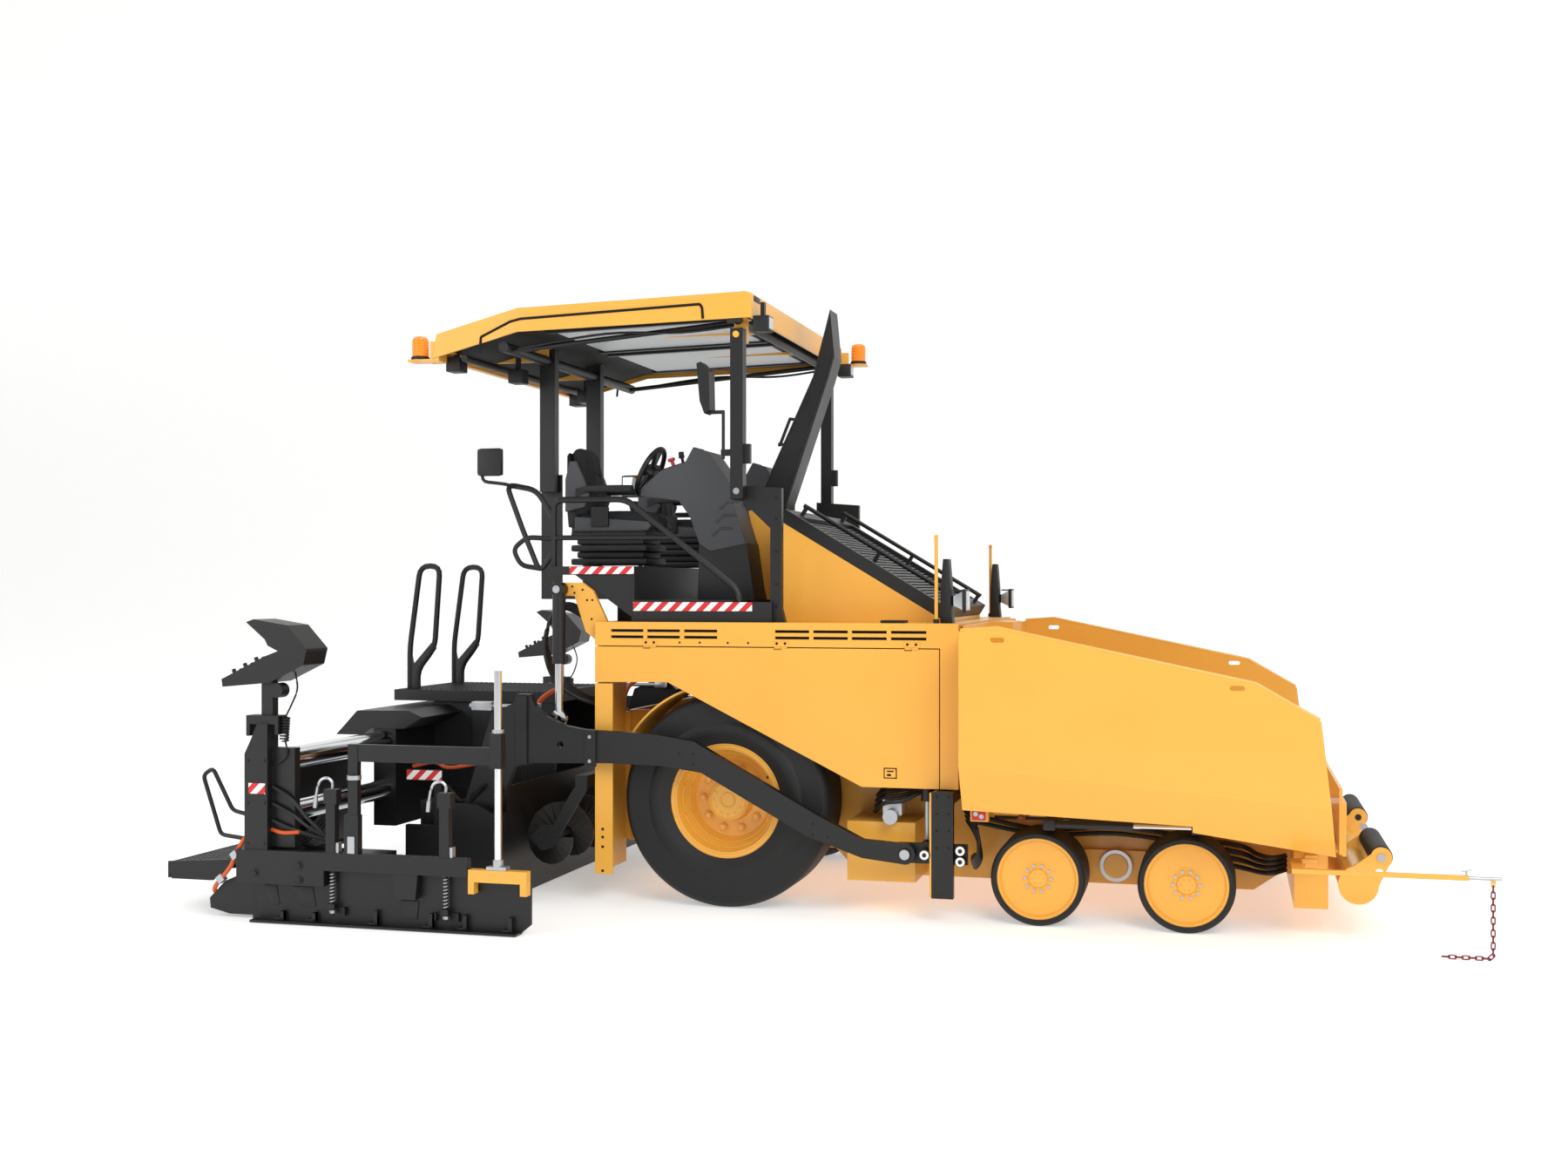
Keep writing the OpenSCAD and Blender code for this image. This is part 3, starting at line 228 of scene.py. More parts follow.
YELLOW = Finish("yellow machine paint", "yellow_paint", "#eeae42", 0.38, surface=Surface.PAINT, pattern_mm=6,
                depth_mm=0.04, coat=0.2, edge_mm=5)
BLACK = Finish("black machine paint", "black_paint", "#101112", 0.42, surface=Surface.PAINT, pattern_mm=3,
               depth_mm=0.06, edge_mm=4)
SATIN = Finish("black satin plastic", "black_paint", "#0e0f10", 0.5, surface=Surface.GRAIN, pattern_mm=1.5,
               depth_mm=0.08)
LINING = Finish("roof lining", "black_paint", "#070708", 0.8, surface=Surface.GRAIN, pattern_mm=4, depth_mm=0.2)
WEAR = Finish("worn steel", "wear_steel", "#3d3b39", 0.48, metallic=0.85, surface=Surface.BRUSHED,
              pattern_mm=9, depth_mm=0.3)
CHROME = Finish("hard chrome", "chrome_rod", "#d7d9dc", 0.1, metallic=1.0, surface=Surface.PAINT, pattern_mm=8,
                depth_mm=0.01)
ZINC = Finish("zinc plated steel", "chrome_rod", "#b9bcc0", 0.34, metallic=0.9, surface=Surface.GRAIN,
              pattern_mm=2, depth_mm=0.05)
TYRE = Finish("tyre rubber", "tyre_rubber", "#0f0f10", 0.62, surface=Surface.GRAIN, pattern_mm=5, depth_mm=0.25)
RUBBER = Finish("black rubber", "rubber", "#121213", 0.65, surface=Surface.GRAIN, pattern_mm=3, depth_mm=0.15)
IRON = Finish("engine iron", "engine_iron", "#57585a", 0.6, metallic=0.5, surface=Surface.GRAIN, pattern_mm=5,
              depth_mm=0.3)
GREY = Finish("grey console plastic", "grey_plastic", "#424347", 0.55, surface=Surface.GRAIN, pattern_mm=1.2,
              depth_mm=0.1, edge_mm=9)
FABRIC = Finish("seat fabric", "seat_fabric", "#141517", 0.85, surface=Surface.GRAIN, pattern_mm=2.5, depth_mm=0.5)
CHAIN = Finish("red chain paint", "red_chain", "#7c1f2c", 0.45, surface=Surface.PAINT, pattern_mm=3, depth_mm=0.1)
AMBER = Finish("amber lens", "amber_lens", "#f58a1c", 0.2, surface=Surface.RIBS, pattern_mm=10, depth_mm=0.4,
               glow=0.2)
# The pale roof panels have a faint glow of painted light, though they are no lamps.
LIT_PANEL = Finish("pale roof panel", "grey_plastic", "#b9bdc0", 0.4, surface=Surface.GRAIN, pattern_mm=5,
               depth_mm=0.05, glow=0.12)
STRIPE = Finish("red and white warning tape", "red_chain", "#d3262e", 0.35, surface=Surface.STRIPES,
                pattern_mm=92, second="#f3f1ec")
LENS = Finish("clear lamp lens", "grey_plastic", "#e6ebef", 0.08, surface=Surface.RIBS, pattern_mm=12,
              depth_mm=0.4, transmission=0.35)
MIRROR = Finish("mirror glass", "chrome_rod", "#c9d2d8", 0.04, metallic=1.0, surface=Surface.PAINT,
                pattern_mm=40, depth_mm=0.01)
ORANGE = Finish("orange conduit", "red_chain", "#d4581e", 0.5, surface=Surface.RIBS, pattern_mm=6, depth_mm=0.8)
RED = Finish("red plastic", "red_chain", "#c81e23", 0.35, surface=Surface.GRAIN, pattern_mm=2, depth_mm=0.05)
WHITE = Finish("white nylon", "grey_plastic", "#e9e9e6", 0.5, surface=Surface.GRAIN, pattern_mm=2, depth_mm=0.05)
# Painted shade: a near-black finish put where holes, grooves, recesses and slots would show only the shade inside
# them.
PAINTED_SHADE = Finish("painted shade", "black_paint", "#0a0a0b", 0.9, surface=Surface.GRAIN, pattern_mm=3, depth_mm=0.05)
HOSE = Finish("hydraulic hose", "rubber", "#141415", 0.5, surface=Surface.RIBS, pattern_mm=5, depth_mm=0.2)

SLOT_FINISH = {
    finish.slot: finish
    for finish in (YELLOW, BLACK, WEAR, CHROME, TYRE, RUBBER, IRON, GREY, FABRIC, CHAIN, AMBER)
}
SMOOTH_ANGLE = math.radians(35)


class Shape:
    """A mesh under construction, in the machine's own measure."""

    def __init__(self) -> None:
        """Starts with nothing."""
        self.mesh = bmesh.new()

    def _bevel(self, verts: Iterable, width: float) -> None:
        """Rounds the edges at these points.

        Args:
            verts: Points of the mesh.
            width: Width of the rounding, or zero for none.
        """
        if width:
            edges = {e for v in verts for e in v.link_edges}
            bmesh.ops.bevel(self.mesh, geom=list(edges), offset=width, segments=2, affect="EDGES", profile=0.6)

    def box(self, low: Point, high: Point, bevel: float = 0.0, turn: Matrix | None = None) -> "Shape":
        """Adds a box between two corners.

        Args:
            low: Its lowest corner.
            high: Its highest corner.
            bevel: Width of its rounded edges.
            turn: A turn about its own middle.

        Returns:
            This shape.
        """
        size = Vector(high) - Vector(low)
        place = Matrix.Translation((Vector(low) + Vector(high)) / 2) @ (turn or Matrix.Identity(4))
        verts = bmesh.ops.create_cube(self.mesh, size=1, matrix=place @ Matrix.Diagonal((*size, 1)))["verts"]
        self._bevel(verts, min(bevel, min(size) * 0.45))
        return self

    def rod(self, start: Point, end: Point, radius: float, sides: int = 20, tip: float | None = None) -> "Shape":
        """Adds a round or many-sided bar.

        Args:
            start: Middle of its first end.
            end: Middle of its other end.
            radius: Its radius at the start.
            sides: How many sides it has.
            tip: Its radius at the end, if it tapers.

        Returns:
            This shape.
        """
        a, b = Vector(start), Vector(end)
        turn = (b - a).to_track_quat("Z", "Y").to_matrix().to_4x4()
        bmesh.ops.create_cone(self.mesh, cap_ends=True, segments=sides, radius1=radius,
                              radius2=radius if tip is None else tip, depth=(b - a).length,
                              matrix=Matrix.Translation((a + b) / 2) @ turn)
        return self

    def prism(self, outline: Sequence[tuple[float, float]], y0: float, y1: float, bevel: float = 0.0) -> "Shape":
        """Adds an outline that is drawn out across the machine.

        Args:
            outline: Its corners' X and Z.
            y0: Y of its first face.
            y1: Y of its other face.
            bevel: Width of its rounded edges.

        Returns:
            This shape.
        """
        near = [self.mesh.verts.new((x, y0, z)) for x, z in outline]
        face = self.mesh.faces.new(near)
        grown = bmesh.ops.extrude_face_region(self.mesh, geom=[face])["geom"]
        far = [v for v in grown if isinstance(v, bmesh.types.BMVert)]
        bmesh.ops.translate(self.mesh, verts=far, vec=(0, y1 - y0, 0))
        self._bevel(near + far, bevel)
        return self

    def _skin(self, rings: Sequence[Sequence[bmesh.types.BMVert]]) -> "Shape":
        """Closes rings of points into one surface with flat ends.

        Args:
            rings: Rings of equally many points, in order.

        Returns:
            This shape.
        """
        sides = len(rings[0])
        for one, two in zip(rings, rings[1:]):
            for k in range(sides):
                self.mesh.faces.new((one[k], one[(k + 1) % sides], two[(k + 1) % sides], two[k]))
        self.mesh.faces.new(rings[0][::-1])
        self.mesh.faces.new(rings[-1])
        return self

    def tube(self, points: Sequence[Point], radius: float, sides: int = 10, rounds: int = 6) -> "Shape":
        """Adds a smooth tube.

        Args:
            points: What its middle line passes through.
            radius: Its radius.
            sides: How many sides it has.
            rounds: Steps from one point to the next.

        Returns:
            This shape.
        """
        line = smooth_line(points, rounds)
        rings = []
        up = Vector((0, 0, 1))
        for i, p in enumerate(line):
            along = (line[min(i + 1, len(line) - 1)] - line[max(i - 1, 0)]).normalized()
            side = along.cross(up if abs(along.z) < 0.95 else Vector((0, 1, 0))).normalized()
            top = side.cross(along)
            rings.append([self.mesh.verts.new(p + radius * (side * math.cos(a) + top * math.sin(a)))
                          for a in (math.tau * k / sides for k in range(sides))])
        return self._skin(rings)

    def hoop(self, centre: Point, radius: float, wire: float, steps: int = 72) -> "Shape":
        """Adds a ring of wire about a line across the machine.

        Args:
            centre: The ring's middle.
            radius: From its middle to the wire's.
            wire: The wire's radius.
            steps: How many straight stretches it has.

        Returns:
            This shape.
        """
        turns = (math.tau * k / steps for k in range(steps + 2))
        loop = [Vector(centre) + radius * Vector((math.cos(a), 0, math.sin(a))) for a in turns]
        return self.tube(loop, wire, sides=8, rounds=1)

    def coil(self, start: Point, end: Point, radius: float, wire: float, turns: int) -> "Shape":
        """Adds a helix of wire.

        Args:
            start: Where its axis starts.
            end: Where its axis ends.
            radius: From the axis to the wire's middle.
            wire: The wire's radius.
            turns: How many turns it has.

        Returns:
            This shape.
        """
        a, b = Vector(start), Vector(end)
        turn = (b - a).to_track_quat("Z", "Y").to_matrix()
        steps = turns * 12
        points = [a + (b - a) * i / steps + turn @ Vector((radius * math.cos(math.tau * i / 12),
                                                           radius * math.sin(math.tau * i / 12), 0))
                  for i in range(steps + 1)]
        return self.tube(points, wire, sides=6, rounds=1)

    def lathe(self, centre: Point, profile: Sequence[tuple[float, float]], sides: int = 36) -> "Shape":
        """Adds a round piece about an upright axis.

        Args:
            centre: Where its axis meets its lowest plane.
            profile: Radii, with heights above the centre.
            sides: How many sides it has.

        Returns:
            This shape.
        """
        turns = [math.tau * k / sides for k in range(sides)]
        middle_point = Vector(centre)
        rings = [[self.mesh.verts.new(middle_point + Vector((radius * math.cos(a), radius * math.sin(a), height)))
                  for a in turns] for radius, height in profile]
        return self._skin(rings)

    def mirrored(self) -> "Shape":
        """Adds the same again on the machine's other side.

        Returns:
            This shape.
        """
        copy = bmesh.ops.duplicate(self.mesh,
                                   geom=self.mesh.verts[:] + self.mesh.edges[:] + self.mesh.faces[:])["geom"]
        verts = [g for g in copy if isinstance(g, bmesh.types.BMVert)]
        faces = [g for g in copy if isinstance(g, bmesh.types.BMFace)]
        bmesh.ops.scale(self.mesh, vec=(1, -1, 1), verts=verts)
        bmesh.ops.reverse_faces(self.mesh, faces=faces)
        return self

    def build(self, name: str, finish: Finish, body: str, smooth: bool = True, slot: str = "") -> bpy.types.Object:
        """Makes the shape an object that rides on a CAD body.

        Args:
            name: The object's name.
            finish: Its finish.
            body: The CAD body that it moves with.
            smooth: Whether faces that meet at less than SMOOTH_ANGLE are shaded as one.
            slot: Not used; it would name the record's material slot, where it isn't the finish's own.

        Returns:
            The new object.
        """
        bmesh.ops.recalc_face_normals(self.mesh, faces=self.mesh.faces[:])
        bmesh.ops.translate(self.mesh, verts=self.mesh.verts[:], vec=AXLE)
        data = bpy.data.meshes.new(name)
        self.mesh.to_mesh(data)
        self.mesh.free()
        if smooth:
            data.shade_smooth()
            data.set_sharp_from_angle(angle=SMOOTH_ANGLE)
        return mount(data, name, finish, body)


def mount(data: bpy.types.Mesh, name: str, finish: Finish, body: str) -> bpy.types.Object:
    """Puts a finished mesh in the scene on a CAD body.

    Args:
        data: The mesh, in the row frame.
        name: The object's name.
        finish: Its finish.
        body: The CAD body that it moves with.

    Returns:
        The new object.
    """
    data.materials.clear()
    data.materials.append(finish.material())
    made = bpy.data.objects.new(name, data)
    bpy.context.scene.collection.objects.link(made)
    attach(made, body)
    return made


def smooth_line(points: Sequence[Point], rounds: int) -> list[Vector]:
    """Draws a Catmull-Rom line.

    Args:
        points: What it passes through.
        rounds: Steps from one point to the next.

    Returns:
        The line's points.
    """
    p = [Vector(q) for q in points]
    if rounds < 2 or len(p) < 3:
        return p
    p = [2 * p[0] - p[1], *p, 2 * p[-1] - p[-2]]
    line = []
    for a, b, c, d in zip(p, p[1:], p[2:], p[3:]):
        for i in range(rounds):
            t = i / rounds
            square = 2 * a - 5 * b + 4 * c - d
            cube = 3 * b - a - 3 * c + d
            line.append(0.5 * (2 * b + (c - a) * t + square * t**2 + cube * t**3))
    return [*line, p[-2]]


class Repeat:
    """A Geometry Nodes pattern of one small solid: a bolt, a stud or a hole, on a grid or a ring."""

    def __init__(self, name: str, ring: bool) -> None:
        """Makes the pattern's nodes.

        Args:
            name: Its name.
            ring: Whether the pieces stand in a ring, and not on a grid.
        """
        self.name = name
        self.ring = ring
        self.group = bpy.data.node_groups.new(name, "GeometryNodeTree")
        self.sockets: dict[str, str] = {}
        self._build()

    def _socket(self, name: str, kind: str) -> None:
        """Adds a named input to the pattern."""
        made = self.group.interface.new_socket(name, in_out="INPUT", socket_type=kind)
        self.sockets[name] = made.identifier

    def _build(self) -> None:
        """Makes the inputs, the points and the pieces on them."""
        group = self.group
        for name, kind in (("Count A", "NodeSocketInt"), ("Count B", "NodeSocketInt"), ("Size A", "NodeSocketFloat"),
                           ("Size B", "NodeSocketFloat"), ("Radius", "NodeSocketFloat"),
                           ("Height", "NodeSocketFloat"), ("Sides", "NodeSocketInt"),
                           ("Material", "NodeSocketMaterial")):
            self._socket(name, kind)
        group.interface.new_socket("Geometry", in_out="OUTPUT", socket_type="NodeSocketGeometry")
        given = add(group, "NodeGroupInput").outputs
        if self.ring:
            points = add(group, "GeometryNodeMeshCircle", {"Vertices": given["Count A"], "Radius": given["Size A"]})
        else:
            points = add(group, "GeometryNodeMeshGrid", {
                "Size X": given["Size A"],
                "Size Y": given["Size B"],
                "Vertices X": given["Count A"],
                "Vertices Y": given["Count B"],
            })
        piece = add(group, "GeometryNodeMeshCylinder", {
            "Vertices": given["Sides"],
            "Radius": given["Radius"],
            "Depth": given["Height"],
        })
        spread = add(group, "GeometryNodeInstanceOnPoints", {
            "Points": points.outputs["Mesh"],
            "Instance": piece.outputs["Mesh"],
        })
        solid = add(group, "GeometryNodeRealizeInstances", {"Geometry": spread.outputs["Instances"]})
        painted = add(group, "GeometryNodeSetMaterial", {
            "Geometry": solid.outputs["Geometry"],
            "Material": given["Material"],
        })
        output = add(group, "NodeGroupOutput")
        group.links.new(painted.outputs["Geometry"], output.inputs["Geometry"])

    def mesh(self, place: Matrix, finish: Finish, **values: float) -> bpy.types.Mesh:
        """Returns the pattern as a plain mesh.

        Args:
            place: Where the pattern's middle lies and which way its Z axis points, in the machine's measure.
            finish: The finish of its pieces.
            values: The pattern's inputs, with underscores for spaces.

        Returns:
            A mesh in the row frame.
        """
        holder = bpy.data.objects.new(self.name, bpy.data.meshes.new(self.name))
        bpy.context.scene.collection.objects.link(holder)
        modifier = holder.modifiers.new(self.name, "NODES")
        modifier.node_group = self.group
        wanted = {"Count_B": 1, "Size_B": 0.0, "Sides": 6, **values}
        for key, value in wanted.items():
            modifier[self.sockets[key.replace("_", " ")]] = value
        modifier[self.sockets["Material"]] = finish.material()
        shown = holder.evaluated_get(bpy.context.evaluated_depsgraph_get())
        data = bpy.data.meshes.new_from_object(shown)
        data.transform(Matrix.Translation(AXLE) @ place)
        bpy.data.objects.remove(holder)
        return data


def facing(x: float, y: float, z: float, out: Point) -> Matrix:
    """Finds the place of a piece on a face.

    Args:
        x: Its place along the machine.
        y: Its place across the machine.
        z: Its height.
        out: The way the face looks.

    Returns:
        A place with local Z along out, and local X along the machine where that is possible.
    """
    z_axis = Vector(out).normalized()
    x_axis = Vector((1, 0, 0)) if abs(z_axis.x) < 0.9 else Vector((0, 1, 0))
    y_axis = z_axis.cross(x_axis).normalized()
    x_axis = y_axis.cross(z_axis)
    turn = Matrix((x_axis, y_axis, z_axis)).transposed().to_4x4()
    return Matrix.Translation((x, y, z)) @ turn


@dataclass
class Fasteners:
    """Bolt heads, holes and studs, gathered for each body and finish and joined into one mesh apiece."""

    grid: Repeat = field(default_factory=lambda: Repeat("fastener grid", ring=False))
    circle: Repeat = field(default_factory=lambda: Repeat("fastener ring", ring=True))
    found: dict = field(default_factory=dict)

    def rows(self, body: str, finish: Finish, place: Matrix, count: tuple[int, int], size: tuple[float, float],
             radius: float, height: float, sides: int = 6) -> None:
        """Adds a grid of pieces.

        Args:
            body: The CAD body that they move with.
            finish: Their finish.
            place: The grid's middle and outward way.
            count: How many along and across.
            size: How far the first is from the last, along and across.
            radius: Radius of each.
            height: Height of each.
            sides: How many sides each has.
        """
        data = self.grid.mesh(place, finish, Count_A=count[0], Count_B=count[1], Size_A=size[0], Size_B=size[1],
                              Radius=radius, Height=height, Sides=sides)
        self.found.setdefault((body, finish), []).append(data)

    def ring(self, body: str, finish: Finish, place: Matrix, count: int, pitch_radius: float, radius: float,
             height: float, sides: int = 6) -> None:
        """Adds a ring of pieces.

        Args:
            body: The CAD body that they move with.
            finish: Their finish.
            place: The ring's middle and outward way.
            count: How many there are.
            pitch_radius: From the ring's middle to a piece's.
            radius: Radius of each.
            height: Height of each.
            sides: How many sides each has.
        """
        data = self.circle.mesh(place, finish, Count_A=count, Size_A=pitch_radius, Radius=radius, Height=height,
                                Sides=sides)
        self.found.setdefault((body, finish), []).append(data)

    def dots(self, body: str, finish: Finish, points: Iterable[Point], out: Point, radius: float,
             height: float = 0.004, sides: int = 12) -> None:
        """Adds single pieces.

        Args:
            body: The CAD body that they move with.
            finish: Their finish.
            points: Where they are.
            out: The way that they face.
            radius: Radius of each.
            height: Height of each.
            sides: How many sides each has.
        """
        for p in points:
            self.rows(body, finish, facing(*p, out), (1, 1), (0.0, 0.0), radius, height, sides)

    def build(self) -> None:
        """Joins what was gathered and mounts it."""
        for (body, finish), parts in self.found.items():
            joined = bmesh.new()
            for data in parts:
                joined.from_mesh(data)
                bpy.data.meshes.remove(data)
            name = f"fasteners {body} {finish.name}".replace(" ", "_")
            data = bpy.data.meshes.new(name)
            joined.to_mesh(data)
            joined.free()
            mount(data, name, finish, body)


FASTENERS = Fasteners()


@dataclass
class Canopy:
    """What is seen under and on the roof: lining, pale panels, seams, work lamps, beacons and blind rollers."""

    roof_z: float = 3.79
    half: float = 1.25
    front: float = 0.17
    bend: float = -1.353
    rear: float = -1.88
    beacons: tuple[Point, ...] = ((-2.058, -1.18, 3.45), (0.333, 1.18, 3.645))
    seam: tuple[tuple[float, float], ...] = (
        (-1.61, 3.47),
        (-1.60, 3.575),
        (-1.40, 3.665),
        (-1.33, 3.68),
        (-0.14, 3.722),
        (-0.125, 3.70),
        (-0.12, 3.632),
    )

    def build(self) -> None:
        """Makes the roof's pieces."""
        self._liner()
        self._seams()
        self._lamps()
        self._beacons()
        self._pipes()

    def _beacons(self) -> None:
        """Makes ribbed warning lights on black bases in place of the plain ones."""
        lens, base, plates = Shape(), Shape(), Shape()
        for x, y, z in self.beacons:
            ribs = [(0.055 if k % 2 else 0.0515, 0.024 + 0.0085 * k) for k in range(13)]
            lens.lathe((x, y, z), [(0.05, 0.012), *ribs, (0.05, 0.138), (0.038, 0.149), (0.018, 0.155),
                                   (0.002, 0.156)])
            base.lathe((x, y, z), [(0.058, 0.0), (0.06, 0.004), (0.06, 0.018), (0.054, 0.024)])
            plates.lathe((x, y, z - 0.012), [(0.068, 0.0), (0.07, 0.003), (0.07, 0.009), (0.068, 0.012)])
        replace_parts(lens.build("beacon_lenses", AMBER, "canopy_roof"), "canopy_lights")
        base.build("beacon_bases", SATIN, "canopy_roof")
        plates.build("beacon_plates", YELLOW, "canopy_roof")
        tongue = Shape().box((0.186, 1.125, 3.62), (0.27, 1.14, 3.73), 0.005)
        tongue.box((-2.0, -1.14, 3.43), (-1.91, -1.125, 3.55), 0.005)
        tongue.build("beacon_tongues", YELLOW, "canopy_roof")

    def _pipes(self) -> None:
        """Makes the blind rollers, cross tubes and cables under the roof."""
        tubes = Shape()
        for x, z, r in ((-1.47, 3.515, 0.034), (-1.74, 3.45, 0.022), (0.075, 3.635, 0.032)):
            tubes.rod((x, -1.2, z), (x, 1.2, z), r, 24)
        for side in SIDES:
            tubes.rod((-1.45, side * 1.1, 3.5), (0.1, side * 1.1, 3.63), 0.016, 16)
            tubes.tube([(0.05, side * 1.12, 3.6), (-0.3, side * 1.14, 3.57), (-0.8, side * 1.14, 3.58),
                        (-1.4, side * 1.13, 3.51)], 0.008, sides=8)
        tubes.build("roof_blind_rollers", SATIN, "canopy_roof")
        caps = Shape()
        for side in SIDES:
            caps.box((0.03, side * 1.235 - 0.012, 3.60), (0.13, side * 1.235 + 0.012, 3.70), 0.008)
        caps.build("roof_roller_ends", SATIN, "canopy_roof")

    def _liner(self) -> None:
        """Makes the dark lining with its pale panels, which glow faintly with painted light, and their trim."""
        z = self.roof_z - 0.115
        inner = self.half - 0.02
        liner = Shape()
        liner.prism([(self.front, z), (self.bend, z - 0.035), (self.rear, z - 0.17), (self.rear, z - 0.178),
                     (self.bend, z - 0.043), (self.front, z - 0.008)], -inner, inner)
        liner.build("roof_liner", LINING, "canopy_roof")
        panels = Shape()
        for side in SIDES:
            y = side * 0.56
            panels.prism([(-0.07, z - 0.008), (-1.2, z - 0.038), (-1.2, z - 0.05), (-0.07, z - 0.02)], y - 0.46,
                         y + 0.46, bevel=0.004)
        panels.build("roof_panels", LIT_PANEL, "canopy_roof")
        trim = Shape()
        for side in SIDES:
            y = side * 0.56
            for a, b in ((-0.5, -0.46), (0.46, 0.5)):
                trim.prism([(-0.03, z - 0.004), (-1.24, z - 0.036), (-1.24, z - 0.062), (-0.03, z - 0.03)], y + a,
                           y + b)
        trim.build("roof_panel_trim", SATIN, "canopy_roof")

    def _seams(self) -> None:
        """Makes the grooves along the roof's sides as near-black rods of painted shade."""
        seam = Shape()
        for a, b in zip(self.seam, self.seam[1:]):
            seam.rod((a[0], -self.half - 0.0005, a[1]), (b[0], -self.half - 0.0005, b[1]), 0.0085, sides=8)
        seam.mirrored().build("roof_seams", PAINTED_SHADE, "canopy_roof")

    def _lamps(self) -> None:
        """Makes the work lamps under the roof's corners."""
        housing, glass = Shape(), Shape()
        for x, y, z, ahead in ((0.24, 1.16, 3.60, 1), (-1.86, 1.06, 3.43, -1), (-1.62, 0.62, 3.40, -1)):
            housing.box((x - 0.05, y - 0.06, z - 0.05), (x + 0.05, y + 0.06, z + 0.045), 0.008)
            housing.box((x - 0.012, y - 0.02, z + 0.04), (x + 0.012, y + 0.02, z + 0.13))
            face = x + ahead * 0.0505
            glass.box((face - 0.002, y - 0.045, z - 0.036), (face + 0.002, y + 0.045, z + 0.034), 0.001)
        housing.box((0.09, 1.05, 3.735), (0.193, 1.2, 3.772), 0.006)
        housing.mirrored().build("roof_work_lamps", SATIN, "canopy_roof")
        glass.mirrored().build("roof_work_lamp_lenses", LENS, "canopy_roof")


def baked(holder: bpy.types.Object) -> bpy.types.Mesh:
    """Returns an object's mesh with its modifiers applied."""
    return bpy.data.meshes.new_from_object(holder.evaluated_get(bpy.context.evaluated_depsgraph_get()))


@dataclass
class Cushion:
    """A padded fabric form: a rounded block that is swelled as filled cloth, then sewn along its seams."""

    size: tuple[float, float, float]
    edge: float = 0.04
    taper: float = 0.0
    crown: float = 0.012
    seams: tuple[float, ...] = (-0.3, 0.3)
    cross_seams: tuple[float, ...] = (0.1,)
    seam_depth: float = 0.007
    cuts: int = 18
    voxel: float = 0.009
    pressure: float = 4.0
    swell: float = 0.014
    frames: int = 20

    def build(self, name: str, place: Matrix, body: str) -> bpy.types.Object:
        """Makes the cushion.

        Args:
            name: The object's name.
            place: Where its middle lies in the machine's measure, with local Z out of the padded face.
            body: The CAD body that it moves with.

        Returns:
            The new object.
        """
        data = bpy.data.meshes.new(name)
        block = self._block()
        block.to_mesh(data)
        block.free()
        data = self._swelled(data)
        self._sew(data)
        data.transform(Matrix.Translation(AXLE) @ place)
        data.shade_smooth()
        made = mount(data, name, FABRIC, body)
        return made

    def _block(self) -> bmesh.types.BMesh:
        """Makes the cushion's block with round edges and a crown.

        Returns:
            The block, about its own middle.
        """
        made = bmesh.new()
        bmesh.ops.create_cube(made, size=2)
        bmesh.ops.subdivide_edges(made, edges=made.edges[:], cuts=self.cuts, use_grid_fill=True)
        half = Vector(self.size) / 2
        for v in made.verts:
            part = v.co.copy()
            p = Vector(a * b for a, b in zip(part, half))
            core = Vector(max(-(h - self.edge), min(h - self.edge, q)) for q, h in zip(p, half))
            rest = p - core
            p = core + (rest.normalized() * self.edge if rest.length > 1e-6 else rest)
            if part.z > 0.5:
                p.z += self.crown * (1 - part.x**2) * (1 - part.y**2)
            along = (part.x + 1) / 2
            p.y *= 1 - self.taper * along**2
            p.z *= 1 - 0.5 * self.taper * along
            v.co = p
        return made

    def _swelled(self, data: bpy.types.Mesh) -> bpy.types.Mesh:
        """Fills the block with air in a short cloth simulation with no gravity.

        Args:
            data: The block.

        Returns:
            The filled form.
        """
        scene = bpy.context.scene
        holder = bpy.data.objects.new("cloth", data)
        scene.collection.objects.link(holder)
        remesh = holder.modifiers.new("remesh", "REMESH")
        remesh.mode = "VOXEL"
        remesh.voxel_size = self.voxel
        start = baked(holder)
        holder.modifiers.clear()
        holder.data = start
        cloth = holder.modifiers.new("cloth", "CLOTH")
        cloth.settings.use_pressure = True
        cloth.settings.uniform_pressure_force = self.pressure
        cloth.settings.effector_weights.gravity = 0
        cloth.point_cache.frame_end = self.frames
        for number in range(1, self.frames + 1):
            scene.frame_set(number)
        full = baked(holder)
        for old, new in zip(start.vertices, full.vertices):
            move = new.co - old.co
            if move.length > self.swell:
                new.co = old.co + move * (self.swell / move.length)
        holder.modifiers.clear()
        holder.data = full
        holder.modifiers.new("smooth", "SUBSURF").levels = 1
        done = baked(holder)
        scene.frame_set(1)
        bpy.data.objects.remove(holder)
        return done

    def _sew(self, data: bpy.types.Mesh) -> None:
        """Presses the sewn seams into the padded face.

        Args:
            data: The filled form.
        """
        half = Vector(self.size) / 2
        for v in data.vertices:
            if v.co.z > 0.2 * half.z:
                far = [v.co.y - s * half.y for s in self.seams]
                if abs(v.co.y) < 0.3 * half.y:
                    far += [v.co.x - s * half.x for s in self.cross_seams]
                v.co.z -= self.seam_depth * sum(math.exp(-((d / 0.007) ** 2)) for d in far)


